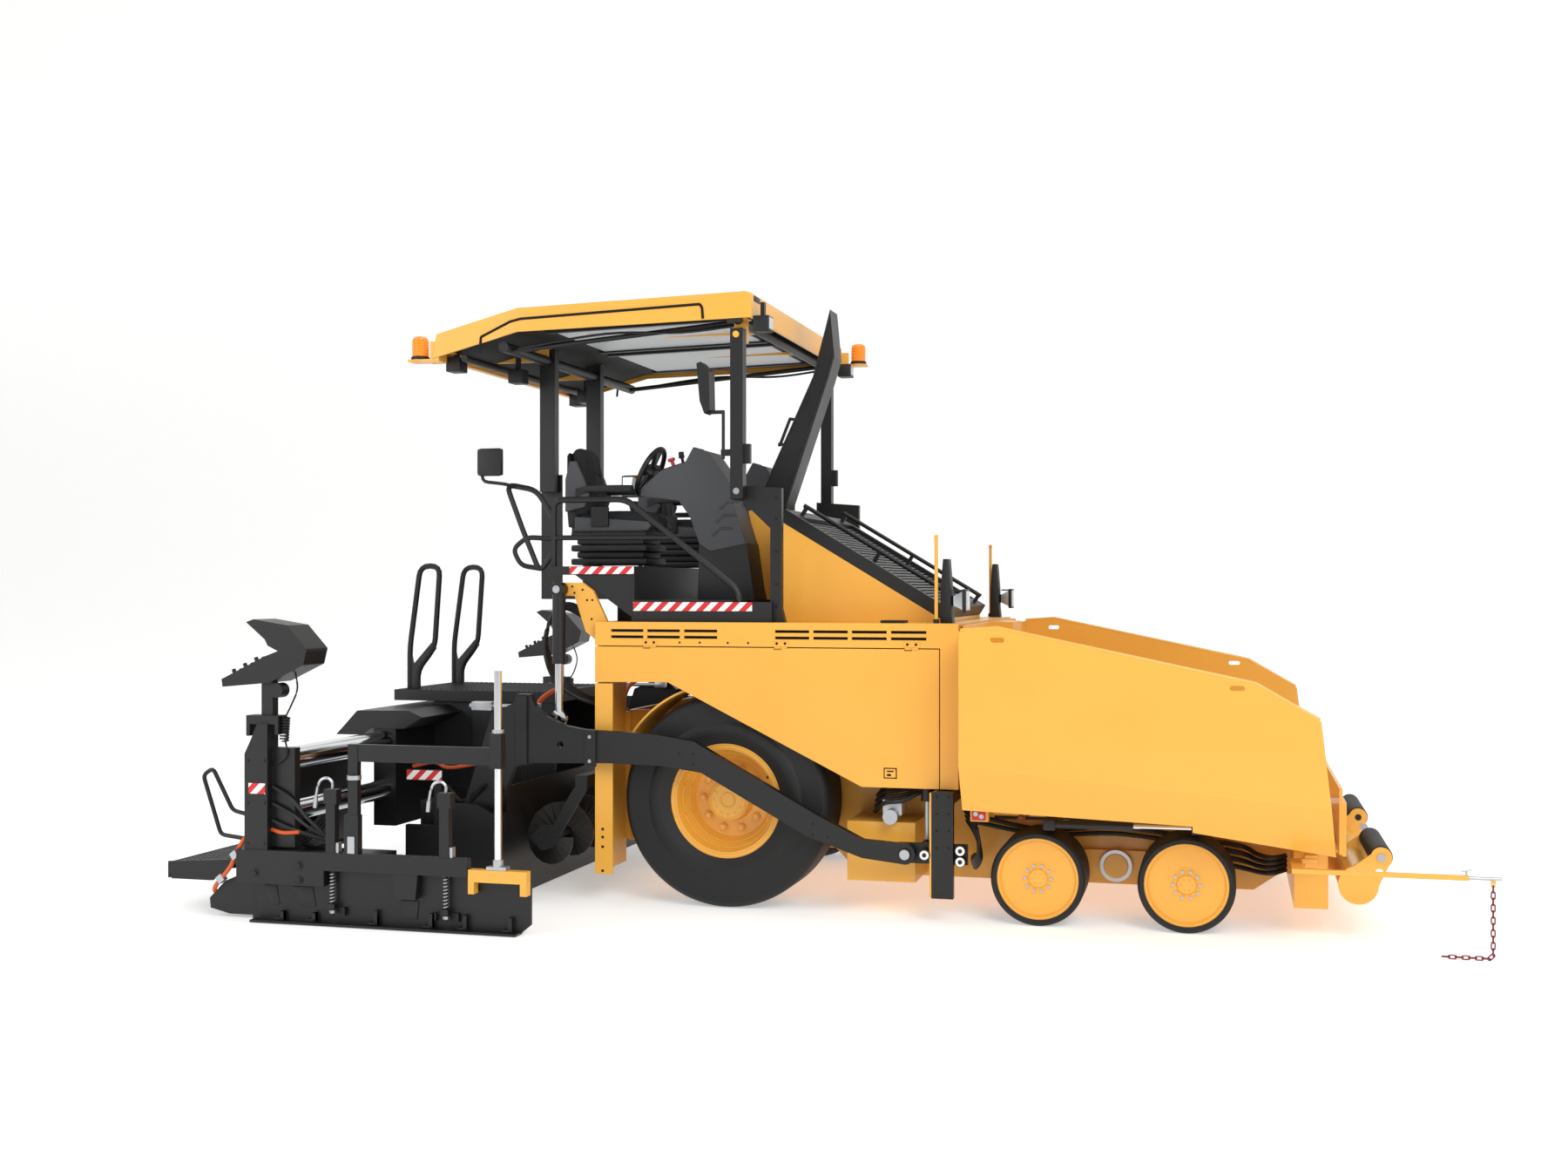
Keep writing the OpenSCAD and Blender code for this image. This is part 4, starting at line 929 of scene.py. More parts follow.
@dataclass
class OperatorStation:
    """Seats, console details, warning tape and mirrors."""

    seat_y: float = 0.7
    stand_z: float = 2.113
    console_half: float = 0.14

    def build(self) -> None:
        """Makes the operator's pieces."""
        self._seats()
        self._consoles()
        self._tape()
        self._mirrors()

    def _seats(self) -> None:
        """Makes the seats' suspension, shells, arm rests and cushions."""
        base = Shape()
        for side in SIDES:
            y = side * self.seat_y
            for k in range(5):
                z = self.stand_z + 0.012 + 0.044 * k
                swell = 0.03 if k % 2 == 0 else 0.0
                base.box((-1.10 - swell, y - 0.17 - swell, z), (-0.64 + swell, y + 0.17 + swell, z + 0.042), 0.014)
            base.box((-1.12, y - 0.21, self.stand_z + 0.225), (-0.62, y + 0.21, self.stand_z + 0.255), 0.006)
            base.prism([(-1.16, 2.37), (-1.09, 2.37), (-1.105, 2.56), (-1.155, 2.86), (-1.17, 2.84), (-1.172, 2.5)],
                       y - 0.17, y + 0.17, 0.012)
            for edge in (-0.205, 0.205):
                base.box((-1.03, y + edge - 0.028, 2.595), (-0.70, y + edge + 0.028, 2.64), 0.016)
                base.prism([(-1.09, 2.56), (-1.0, 2.6), (-1.0, 2.64), (-1.09, 2.62)], y + edge - 0.012,
                           y + edge + 0.012)
            base.box((-0.98, y - 0.23, 2.37), (-0.86, y - 0.205, 2.5), 0.008)
        cheeks = Shape()
        for side in SIDES:
            for edge in (-0.198, 0.198):
                y = side * self.seat_y + edge
                cheeks.prism([(-1.165, 2.47), (-1.03, 2.5), (-1.0, 2.58), (-1.045, 2.70), (-1.09, 2.80),
                              (-1.135, 2.80), (-1.165, 2.68)], y - 0.014, y + 0.014, 0.008)
                cheeks.prism([(-1.1, 2.345), (-0.60, 2.345), (-0.575, 2.375), (-0.60, 2.405), (-0.80, 2.42),
                              (-1.1, 2.44)], y - 0.016, y + 0.016, 0.01)
        cheeks.build("seat_side_shells", GREY, "tractor")
        shell = base.build("seat_bases", SATIN, "tractor")
        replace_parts(shell, "seats")
        up, ahead = Vector((-0.12, 0, 0.993)), Vector((0.993, 0, 0.12))
        lean = Matrix((up, (0, -1, 0), ahead)).transposed().to_4x4()
        for side, name in NAMED_SIDES:
            y = side * self.seat_y
            Cushion((0.52, 0.42, 0.10)).build(f"seat_cushion_{name}", Matrix.Translation((-0.84, y, 2.405)),
                                              "tractor")
            back = Cushion((0.48, 0.41, 0.10), taper=0.36, cross_seams=(0.2,))
            back.build(f"back_cushion_{name}", Matrix.Translation((-1.085, y, 2.665)) @ lean, "tractor")

    def _consoles(self) -> None:
        """Makes the consoles' shrouds, ribs, controls and steering wheels."""
        shroud, dark, knobs, chevrons = Shape(), Shape(), Shape(), Shape()
        for side in SIDES:
            y = side * self.seat_y
            half = self.console_half + 0.003
            shroud.prism([(-0.284, 1.903), (0.094, 1.903), (0.042, 2.262), (-0.2, 2.215), (-0.274, 2.262)], y - half,
                         y + half, 0.004)
            dark.prism([(-0.536, 2.742), (-0.374, 2.79), (-0.37, 2.784), (-0.534, 2.736)], y - 0.115, y + 0.115)
            dark.prism([(-0.322, 2.884), (-0.378, 2.79), (-0.366, 2.786), (-0.312, 2.88)], y - 0.1, y + 0.1, 0.002)
            dark.prism([(-0.672, 2.632), (-0.56, 2.726), (-0.552, 2.716), (-0.664, 2.622)], y - 0.11, y + 0.11)
            for k in range(3):
                z = 2.31 + 0.085 * k
                x = -0.185 + 0.025 * k
                for s in (-1, 1):
                    face = y + s * self.console_half
                    chevrons.tube([(x, face, z), (x + 0.05, face, z + 0.045), (x + 0.13, face, z + 0.045)], 0.008,
                                  sides=8, rounds=1)
            knobs.rod((-0.47, y - 0.06, 2.765), (-0.485, y - 0.06, 2.80), 0.012)
            knobs.rod((-0.485, y - 0.06, 2.80), (-0.49, y - 0.06, 2.815), 0.024)
            for k in range(4):
                dark.rod((-0.50 + 0.03 * k, y + 0.05, 2.745 + 0.009 * k),
                         (-0.508 + 0.03 * k, y + 0.05, 2.77 + 0.009 * k), 0.008)
            dark.rod((-0.45, y + 0.1, 2.755), (-0.47, y + 0.1, 2.84), 0.01)
            dark.rod((-0.47, y + 0.1, 2.83), (-0.475, y + 0.1, 2.87), 0.02, tip=0.017)
            ring = Matrix.Translation((-0.65, y, 2.735)) @ Matrix.Rotation(math.radians(-63), 4, "Y")
            loop = [ring @ Vector((0.165 * math.cos(a), 0.165 * math.sin(a), 0))
                    for a in (math.tau * k / 40 for k in range(41))]
            dark.tube(loop, 0.0165, sides=10, rounds=1)
            dark.rod(ring @ Vector((0, 0, -0.03)), ring @ Vector((0, 0, 0.018)), 0.045, tip=0.03)
            for a in (90, 210, 330):
                spoke = Vector((math.cos(math.radians(a)), math.sin(math.radians(a)), 0))
                dark.rod(ring @ (spoke * 0.02), ring @ (spoke * 0.16), 0.0125)
        shroud.build("console_shrouds", SATIN, "tractor")
        dark.build("console_controls", SATIN, "tractor")
        chevrons.build("console_ribs", GREY, "tractor")
        knobs.build("stop_buttons", RED, "tractor")

    def _tape(self) -> None:
        """Makes the striped tape on the platform's edges."""
        low, high = Shape(), Shape()
        low.box((-0.598, -1.1825, 1.833), (0.175, -1.180, 1.888))
        high.box((-1.024, -1.1825, 2.064), (-0.594, -1.180, 2.111))
        for shape, name in ((low, "platform_tape"), (high, "seat_stand_tape")):
            shape.mirrored().build(name, STRIPE, "tractor", smooth=False)

    def _mirrors(self) -> None:
        """Makes the rear mirrors."""
        glass = Shape()
        glass.box((-1.575, -1.2885, 2.70), (-1.44, -1.286, 2.842), 0.001)
        glass.mirrored().build("rear_mirror_glass", MIRROR, "tractor")
        rims = Shape()
        rims.box((-1.592, -1.338, 2.683), (-1.423, -1.288, 2.859), 0.03)
        rims.mirrored().build("rear_mirror_housings", SATIN, "tractor")


@dataclass
class BodySides:
    """Hinge plates, latches, lamp lenses and pipes on the tractor's sides and deck."""

    side: float = 1.25
    hinges: tuple[float, ...] = (-0.505, 0.335, 1.14)
    holes: tuple[tuple[float, tuple[tuple[float, float], ...], float], ...] = (
        (1.25, ((-0.27, 1.64), (-0.14, 1.64), (0.04, 1.64), (0.17, 1.64)), 0.0065),
        (1.25, ((-0.775, 0.36), (-0.775, 0.42), (-0.775, 0.47), (-0.775, 0.21)), 0.009),
        (1.149, ((0.32, 1.86), (0.32, 2.0), (0.32, 2.2), (0.32, 2.4), (0.32, 2.53)), 0.008),
        (1.195, ((-1.0, 1.985), (-0.93, 1.965), (-0.985, 1.945), (-0.9, 1.90), (-0.865, 1.90), (-0.87, 1.78)), 0.007),
    )

    def build(self) -> None:
        """Makes the body's pieces."""
        plates = Shape()
        for x in self.hinges:
            plates.box((x - 0.008, -self.side - 0.003, 1.6205), (x + 0.092, -self.side + 0.001, 1.652), 0.001)
            for side in SIDES:
                # The hinge plates' holes are dark discs of painted shade.
                place = facing(x + 0.042, side * (self.side + 0.003), 1.639, (0, side, 0))
                FASTENERS.rows("tractor", PAINTED_SHADE, place, (2, 1), (0.052, 0), 0.008, 0.006, 12)
        plates.mirrored().build("hinge_plates", YELLOW, "tractor")
        for side, name in NAMED_SIDES:
            y = side * self.side
            # The latch's recess and its two slots are near-black pieces of painted shade.
            recess_shade = Shape().box((1.012, y - 0.0015, 0.838), (1.092, y + 0.0015, 0.902), 0.0006)
            recess_shade.box((1.033, y - 0.0085, 0.878), (1.073, y + 0.0085, 0.886), 0.002)
            recess_shade.box((1.033, y - 0.0085, 0.853), (1.058, y + 0.0085, 0.866), 0.002)
            recess_shade.build(f"door_latch_recess_{name}", PAINTED_SHADE, f"side_door_{name}")
            latch = Shape().box((1.018, y - 0.006, 0.844), (1.086, y + 0.006, 0.896), 0.004)
            latch.build(f"door_latch_{name}", YELLOW, f"side_door_{name}")
            out = (0, side, 0)
            # The holes on the body's sides are dark discs of painted shade.
            for face, spots, radius in self.holes:
                FASTENERS.dots("tractor", PAINTED_SHADE, [(x, side * face, z) for x, z in spots], out, radius)
        # A near-black sheet behind the vent slots is painted shade, standing where only the dark inside shows.
        slot_shade = Shape().box((-0.74, -1.228, 1.60), (1.29, -1.222, 1.735))
        slot_shade.mirrored().build("vent_screens", PAINTED_SHADE, "tractor")
        pins = Shape().rod((-1.07, -1.294, 1.968), (-1.07, -1.28, 1.968), 0.024, 20)
        pins.mirrored().build("lift_pin_heads", ZINC, "lift_barrels")
        pins = Shape().rod((0.09, -1.24, 2.57), (0.09, -1.232, 2.57), 0.02, 20)
        pins.mirrored().build("fold_pin_heads", ZINC, "canopy_front")
        self._lamps()
        self._pipes()

    def _lamps(self) -> None:
        """Makes the headlamps on their posts, and the marker poles beside them."""
        post, bucket, rim, lens = Shape(), Shape(), Shape(), Shape()
        post.prism([(1.335, 1.766), (1.41, 1.766), (1.402, 1.84), (1.40, 1.97), (1.386, 2.15), (1.352, 2.15),
                    (1.338, 1.97)], -1.15, -1.05, 0.004)
        post.rod((1.32, -1.195, 1.766), (1.32, -1.195, 1.79), 0.018)
        post.box((1.395, -1.118, 1.87), (1.425, -1.082, 1.93), 0.004)
        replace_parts(post.mirrored().build("headlamp_posts", SATIN, "tractor"), "deck_lamps")
        bucket.prism([(1.418, 1.872), (1.476, 1.842), (1.476, 1.958), (1.418, 1.928)], -1.165, -1.035, 0.004)
        bucket.mirrored().build("headlamp_buckets", ZINC, "tractor")
        rim.box((1.472, -1.178, 1.83), (1.494, -1.022, 1.97), 0.006)
        rim.box((1.42, -1.172, 1.956), (1.48, -1.028, 1.966), 0.003)
        rim.mirrored().build("headlamp_housings", SATIN, "tractor")
        lens.box((1.492, -1.165, 1.842), (1.498, -1.035, 1.958), 0.002)
        lens.mirrored().build("headlamp_lenses", LENS, "tractor")
        tips = Shape().rod((1.32, -1.195, 2.27), (1.32, -1.195, 2.292), 0.0125)
        tips.mirrored().build("marker_tips", YELLOW, "tractor")
        poles = Shape().rod((1.32, -1.195, 1.77), (1.32, -1.195, 2.275), 0.0108)
        poles.mirrored().build("marker_poles", YELLOW, "tractor")

    def _pipes(self) -> None:
        """Makes the hoses, valve blocks and wing cylinders."""
        pipes = Shape()
        for k in range(4):
            y = -1.16 + 0.03 * k
            z = 0.60 + 0.03 * k
            pipes.tube([(0.9, y + 0.2, z), (1.0, y, z + 0.08), (1.12, y, z + 0.10), (1.25, y + 0.05, z + 0.16),
                        (1.44, y + 0.15, z + 0.18)], 0.014, sides=8)
            pipes.tube([(1.47, y + 0.1, 0.66 - 0.03 * k), (1.545, y, 0.60 - 0.04 * k), (1.57, y, 0.42 - 0.02 * k),
                        (1.52, y + 0.1, 0.34 - 0.02 * k), (1.49, y + 0.3, 0.33)], 0.012, sides=8)
        for k in range(2):
            z = 0.47 + 0.04 * k
            pipes.tube([(1.5, -0.78, z + 0.06), (1.9, -0.77, z - 0.01 * k), (2.35, -0.77, z + 0.02),
                        (2.75, -0.78, z - 0.02), (3.0, -0.8, z - 0.05)], 0.014, sides=8)
        for k in range(4):
            z = 0.43 - 0.042 * k
            pipes.tube([(2.98, -0.772, z + 0.03), (3.1, -0.79, z + 0.01), (3.17, -0.85, z - 0.02 + 0.008 * k),
                        (3.25, -0.9, z - 0.03 + 0.012 * k), (3.33, -0.86, z - 0.02 + 0.015 * k)], 0.015, sides=8)
        pipes.mirrored().build("side_hoses", HOSE, "tractor")
        block = Shape().box((0.98, -1.13, 0.60), (1.1, -1.0, 0.70), 0.01)
        block.rod((1.04, -1.2, 0.60), (1.04, -1.1, 0.60), 0.045)
        block.mirrored().build("valve_blocks", ZINC, "tractor", slot="wear_steel")
        barrel = Shape().rod((2.02, -1.25, 0.60), (2.46, -1.25, 0.603), 0.026, 24)
        barrel.box((1.96, -1.28, 0.565), (2.03, -0.8, 0.63), 0.006)
        barrel.rod((2.44, -1.25, 0.603), (2.475, -1.25, 0.603), 0.031, 24)
        barrel.box((2.80, -1.28, 0.57), (2.86, -0.85, 0.632), 0.006)
        barrel.mirrored().build("wing_cylinders", BLACK, "tractor")
        stem = Shape().rod((2.47, -1.25, 0.603), (2.81, -1.25, 0.605), 0.014, 20)
        stem.mirrored().build("wing_cylinder_rods", CHROME, "tractor")
        rear = Shape()
        for k in range(5):
            y = -1.12 + 0.035 * k
            rear.tube([(-0.84, y, 1.70 - 0.03 * k), (-1.0, y, 1.86 - 0.02 * k), (-1.14 - 0.012 * k, y, 1.84),
                       (-1.22 - 0.012 * k, y, 1.62), (-1.17, y + 0.03, 1.40), (-1.02, y + 0.05, 1.28),
                       (-0.84, y + 0.1, 1.22)], 0.014, sides=8)
        rear.mirrored().build("rear_hoses", HOSE, "tractor")


@dataclass
class TowGear:
    """Guide rollers, pins, strips and the connector panel at the tow points."""

    outer: float = 1.345
    rollers: tuple[tuple[float, float], ...] = ((1.274, 0.404), (1.486, 0.372), (1.486, 0.436))
    arm_holes: tuple[tuple[float, float], ...] = (
        (-0.24, 0.965),
        (-0.15, 0.965),
        (-0.15, 0.90),
        (0.60, 0.565),
        (0.60, 0.50),
        (0.69, 0.49),
    )

    def build(self) -> None:
        """Makes the tow gear's pieces."""
        rollers, hubs, pins, strip = Shape(), Shape(), Shape(), Shape()
        for x, z in self.rollers:
            rollers.rod((x, -self.outer - 0.004, z), (x, -self.outer + 0.002, z), 0.027, 24)
            hubs.rod((x, -self.outer - 0.007, z), (x, -self.outer, z), 0.0125, 16)
        pins.rod((1.159, -1.368, 0.404), (1.159, -1.36, 0.404), 0.03, 24)
        pins.rod((1.26, -1.15, 0.47), (1.26, -1.15, 0.9), 0.0185, 20)
        rollers.mirrored().build("tow_roller_faces", WHITE, "tow_points")
        hubs.mirrored().build("tow_roller_hubs", SATIN, "tow_points")
        pins.mirrored().build("tow_pins", ZINC, "tow_points")
        strip.box((1.303, -1.338, 0.155), (1.316, -1.292, 0.77), 0.002)
        strip.mirrored().build("tow_scale_strips", YELLOW, "tractor")
        plate = Shape().box((1.532, -1.262, 0.60), (1.64, -1.195, 0.70), 0.004)
        plate.mirrored().build("connector_brackets", YELLOW, "tractor")
        panel = Shape().box((1.545, -1.278, 0.61), (1.625, -1.258, 0.675), 0.004)
        panel.mirrored().build("connector_panels", RED, "tractor")
        for side in SIDES:
            out = (0, side, 0)
            FASTENERS.dots("tractor", ZINC, [(1.568, side * 1.278, 0.648), (1.602, side * 1.278, 0.634)], out, 0.014,
                           0.012, 20)
            # The holes beside the tow point and in the screed arm are dark discs of painted shade.
            FASTENERS.rows("tractor", PAINTED_SHADE, facing(1.382, side * 1.34, 0.6, out), (2, 4), (0.07, 0.3), 0.007, 0.004,
                           12)
            FASTENERS.dots("screed", PAINTED_SHADE, [(x, side * 1.35, z) for x, z in self.arm_holes], out, 0.007)
            FASTENERS.rows("screed", ZINC, facing(-0.816, side * 1.367, 0.98, out), (1, 2), (0, 0.15), 0.012, 0.014)


@dataclass
class RunningGear:
    """Nuts, valves and rings on the wheels, and the bogies' pivots."""

    face: float = 1.2
    drive_z: float = 0.66
    front_z: float = 0.275
    front_axles: tuple[tuple[float, str], ...] = ((2.772, "f"), (1.926, "r"))
    pivot_x: float = 2.349
    pivot_y: float = 0.8
    pivot_z: float = 0.3
    rim_rings: tuple[tuple[float, float, float], ...] = (
        (0.349, 0.036, 0.0055),
        (0.329, 0.035, 0.004),
        (0.3, 0.104, 0.007),
        (0.268, 0.152, 0.005),
        (0.117, 0.092, 0.005),
        (0.045, 0.085, 0.004),
    )

    def build(self) -> None:
        """Makes the wheels' pieces."""
        for side, name in NAMED_SIDES:
            out = (0, side, 0)
            body = f"drive_wheel_{name}"
            for deep, count, pitch, size in ((0.088, 12, 0.09, (0.008, 0.012)), (0.19, 10, 0.19, (0.024, 0.02, 20))):
                hub = facing(0, side * (self.face - deep), self.drive_z, out)
                FASTENERS.ring(body, YELLOW, hub, count, pitch, *size)
            rings = Shape()
            for radius, deep, wire in self.rim_rings:
                rings.hoop((0, side * (self.face - deep), self.drive_z), radius, wire)
            rings.build(f"rim_rings_{name}", YELLOW, body)
            foot, tip = (0.24, side * (self.face - 0.14), 0.80), (0.26, side * (self.face - 0.09), 0.815)
            valve = Shape().rod(foot, tip, 0.008)
            valve.build(f"tyre_valve_{name}", RUBBER, body)
            for x, end in self.front_axles:
                wheel = f"front_wheel_{end}{name[0]}"
                FASTENERS.ring(wheel, ZINC, facing(x, side * 1.2235, self.front_z, out), 10, 0.076, 0.0105, 0.014)
                FASTENERS.ring(wheel, YELLOW, facing(x, side * 1.231, self.front_z, out), 6, 0.032, 0.005, 0.006)
            inner = (self.pivot_x, side * self.pivot_y, self.pivot_z)
            pieces = (("ring", ZINC, 0.012, 0.096, 0.096), ("cap", YELLOW, 0.02, 0.078, 0.072))
            for piece, finish, thick, radius, tip in pieces:
                outer = (self.pivot_x, side * (self.pivot_y + thick), self.pivot_z)
                pivot = Shape().rod(inner, outer, radius, 40, tip)
                pivot.build(f"bogie_pivot_{piece}_{name}", finish, "tractor")


@dataclass
class Hopper:
    """Edge strips and bolts on the hopper and the pusher, and the guide rod."""

    lip_half: float = 1.275
    wing_y: float = 1.621
    wing_edge: tuple[tuple[float, float], ...] = ((1.53, 1.735), (1.74, 1.75), (3.15, 1.455), (3.48, 1.262))
    roller_end: float = 1.252
    guide_y: float = -1.57
    guide_z: float = 0.437

    def build(self) -> None:
        """Makes the hopper's pieces."""
        lip = Shape().box((3.6185, -self.lip_half, 0.475), (3.6425, self.lip_half, 0.60), 0.004)
        lip.build("apron_rubber", RUBBER, "apron")
        for side, name in NAMED_SIDES:
            FASTENERS.rows("apron", ZINC, facing(3.643, side * 0.62, 0.57, (1, 0, 0)), (6, 1), (1.1, 0), 0.011, 0.01)
            rail = Shape().tube([(x, side * self.wing_y, z) for x, z in self.wing_edge], 0.011, sides=8, rounds=1)
            rail.build(f"wing_edge_{name}", YELLOW, f"wing_{name}")
        ends = Shape()
        for y in (-self.roller_end, 0.0, self.roller_end):
            ends.rod((3.826, y - 0.006, 0.478), (3.826, y + 0.006, 0.478), 0.024, 20)
        ends.build("roller_pin_heads", ZINC, "tractor")
        y, z = self.guide_y, self.guide_z
        rod = Shape().rod((4.20, y, z), (4.397, y, z), 0.0095, 16)
        rod.rod((4.225, y, z), (4.225, y, 0.475), 0.005).rod((4.2, y, 0.473), (4.25, y, 0.478), 0.005)
        rod.build("guide_rod", ZINC, "tractor")


@dataclass
class Chain:
    """The guide rod's chain of welded links, hanging from its eye and lying on the ground."""

    x: float = 4.357
    y: float = -1.57
    eye: float = 0.404
    bow: float = 0.0094
    stretch: float = 0.0112
    wire: float = 0.0039
    lying: int = 7

    def build(self) -> None:
        """Makes the links, each turned a quarter from the last."""
        inner = self.bow + self.stretch - self.wire
        pitch = 2 * inner
        rest = self.bow + self.wire + 0.001
        links = Shape()
        top = self.eye - inner - 0.004
        hanging = int((top - rest) / pitch)
        down, back, across = Vector((0, 0, -1)), Vector((-1, 0, 0)), Vector((0, 1, 0))
        for k in range(hanging):
            self._link(links, Vector((self.x, self.y, top - pitch * k)), down, (across, back)[k % 2])
        last = top - pitch * (hanging - 1)
        slope = Vector((-1, 0, -1)).normalized()
        drop = last - inner - rest
        corner = Vector((self.x - drop / 2, self.y, rest + drop / 2))
        self._link(links, corner, slope, (across, slope.cross(across))[hanging % 2])
        for k in range(self.lying):
            spot = Vector((self.x - drop - inner - pitch * k, self.y, rest))
            self._link(links, spot, back, (across, down)[k % 2])
        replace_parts(links.build("guide_chain_links", CHAIN, "tractor"), "guide_chain")

    def _link(self, shape: Shape, middle_point: Vector, along: Vector, wide: Vector) -> None:
        """Adds one link.

        Args:
            shape: What it is added to.
            middle_point: Its middle.
            along: The way of its length.
            wide: The way of its width.
        """
        loop = []
        for k in range(24):
            a = math.tau * k / 24
            reach = self.bow * math.cos(a) + math.copysign(self.stretch, math.cos(a))
            loop.append(middle_point + along * reach + wide * (self.bow * math.sin(a)))
        shape.tube([*loop, loop[0], loop[1]], self.wire, sides=8, rounds=1)


@dataclass
class ScreedDress:
    """Cranks, springs, clamps, hoses, tape and controls on the screed."""

    beam_out: float = 2.31
    rod_y: float = 2.28
    post_y: float = 2.2825
    rods: tuple[float, float] = (-2.064, -1.34)
    gate_plate: float = 2.244
    deep_beam: float = -2.105

    def build(self) -> None:
        """Makes the pieces of both extensions and of the main screed."""
        for side, name in NAMED_SIDES:
            self._extension(side, name)
        self._main()

    def _extension(self, side: int, name: str) -> None:
        """Makes what one extension carries.

        Args:
            side: One for the left, minus one for the right.
            name: The side's name.
        """
        body = f"extension_{name}"

        def at(x: float, y: float, z: float) -> tuple[float, float, float]:
            """Returns a point on this side."""
            return x, side * y, z

        metal, dark, orange = Shape(), Shape(), Shape()
        for x in self.rods:
            metal.tube([at(x, self.post_y, 0.79), at(x, self.post_y, 0.84), at(x - 0.03, self.post_y + 0.01, 0.865),
                        at(x - 0.075, self.post_y + 0.015, 0.84), at(x - 0.10, self.post_y + 0.015, 0.74)], 0.009,
                       sides=8)
            metal.rod(at(x - 0.098, self.post_y + 0.015, 0.75), at(x - 0.104, self.post_y + 0.015, 0.69), 0.013, 14)
            metal.rod(at(x, self.rod_y, 0.075), at(x, self.rod_y, 0.092), 0.018, 6)
            spring = Shape().coil(at(x, self.rod_y, 0.14), at(x, self.rod_y, 0.318), 0.0165, 0.0032, 9)
            made = spring.build(f"gate_spring_{name}_{round(-x * 1000)}", ZINC, body)
            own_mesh(made)
            metal.box(at(x + 0.032, self.beam_out - 0.05, 0.43), at(x + 0.05, self.beam_out - 0.01, 0.49))
        metal.rod(at(-1.015, self.post_y, 1.15), at(-1.015, self.post_y, 1.168), 0.034, 20)
        metal.box(at(-1.075, self.post_y - 0.03, 0.372), at(-0.955, self.post_y + 0.028, 0.392), 0.003)
        metal.rod(at(-1.015, self.post_y, 0.39), at(-1.015, self.post_y, 0.43), 0.031, 20)
        metal.rod(at(-1.922, self.post_y, 0.86), at(-1.922, self.post_y, 0.885), 0.043, 20)
        metal.box(at(-1.95, self.beam_out - 0.012, 0.432), at(-1.905, self.beam_out + 0.002, 0.53), 0.002)
        metal.build(f"screed_metal_{name}", ZINC, body)
        dark.coil(at(-2.395, 2.24, 1.215), at(-2.405, 2.24, 1.07), 0.024, 0.0055, 9)
        dark.tube([at(-2.40, 2.24, 1.08), at(-2.38, 2.25, 1.0), at(-2.42, 2.26, 0.95), at(-2.48, 2.25, 0.93)], 0.0055,
                  sides=8)
        dark.tube([at(-2.36, 2.2, 1.5), at(-2.33, 2.22, 1.38), at(-2.36, 2.24, 1.28), at(-2.395, 2.24, 1.215)],
                  0.0055, sides=8)
        for k in range(3):
            dark.tube([at(-2.47, 2.26, 0.8 - 0.1 * k), at(-2.36, 2.255, 0.74 - 0.09 * k),
                       at(-2.27, 2.22, 0.62 - 0.05 * k), at(-2.17 + 0.02 * k, 2.2, 0.52 - 0.02 * k),
                       at(-2.12 + 0.02 * k, 2.21, 0.435)], 0.011, sides=8)
        for x, z in ((-2.558, 0.292), (-2.268, 0.348), (-2.265, 0.262)):
            dark.rod(at(x, self.beam_out - 0.002, z), at(x, self.beam_out + 0.004, z), 0.027, 24)
            dark.rod(at(x, self.beam_out, z), at(x, self.beam_out + 0.01, z), 0.017, 6)
        for k in range(3):
            x = -2.73 + 0.075 * k
            z = 1.47 + 0.036 * k
            for y in (2.09, 2.17, 2.25):
                dark.rod(at(x, y, z), at(x - 0.008, y, z + 0.022), 0.012, 12)
        dark.build(f"screed_controls_{name}", SATIN, body)
        orange.tube([at(-2.61, 2.25, 0.53), at(-2.65, 2.275, 0.485), at(-2.7, 2.28, 0.40), at(-2.735, 2.275, 0.33),
                     at(-2.80, 2.25, 0.262), at(-2.87, 2.22, 0.2), at(-2.905, 2.19, 0.155), at(-2.91, 2.12, 0.12)],
                    0.0135, sides=10)
        orange.tube([at(-2.48, 2.25, 0.545), at(-2.40, 2.26, 0.53), at(-2.30, 2.25, 0.535)], 0.012, sides=10)
        orange.build(f"screed_conduit_{name}", ORANGE, body)
        for x, y, z in ((-2.706, 2.28, 0.39), (-2.826, 2.24, 0.238)):
            clip = Shape().box(at(x - 0.022, y - 0.02, z - 0.022), at(x + 0.022, y + 0.02, z + 0.022), 0.005,
                               Matrix.Rotation(math.radians(-38), 4, "Y"))
            clip.build(f"conduit_clip_{name}_{round(-x * 1000)}", ZINC, body)
        self._gate(side, name)
        self._rear_wall(side, name)
        tape = Shape().box(at(-2.605, 2.2995, 0.76), at(-2.495, 2.3015, 0.822))
        tape.build(f"tower_tape_{name}", STRIPE, body, smooth=False)
        treads = facing(-3.06, side * 1.65, 0.2955, (0, 0, 1))
        FASTENERS.rows(body, BLACK, treads, (12, 24), (0.40, 0.84), 0.011, 0.005, 8)
        out = (0, side, 0)
        bolts = [(x, side * 2.3, z) for x in (-2.612, -2.502) for z in (0.465, 0.705, 0.955)]
        FASTENERS.dots(body, SATIN, bolts, out, 0.008, 0.01, 6)

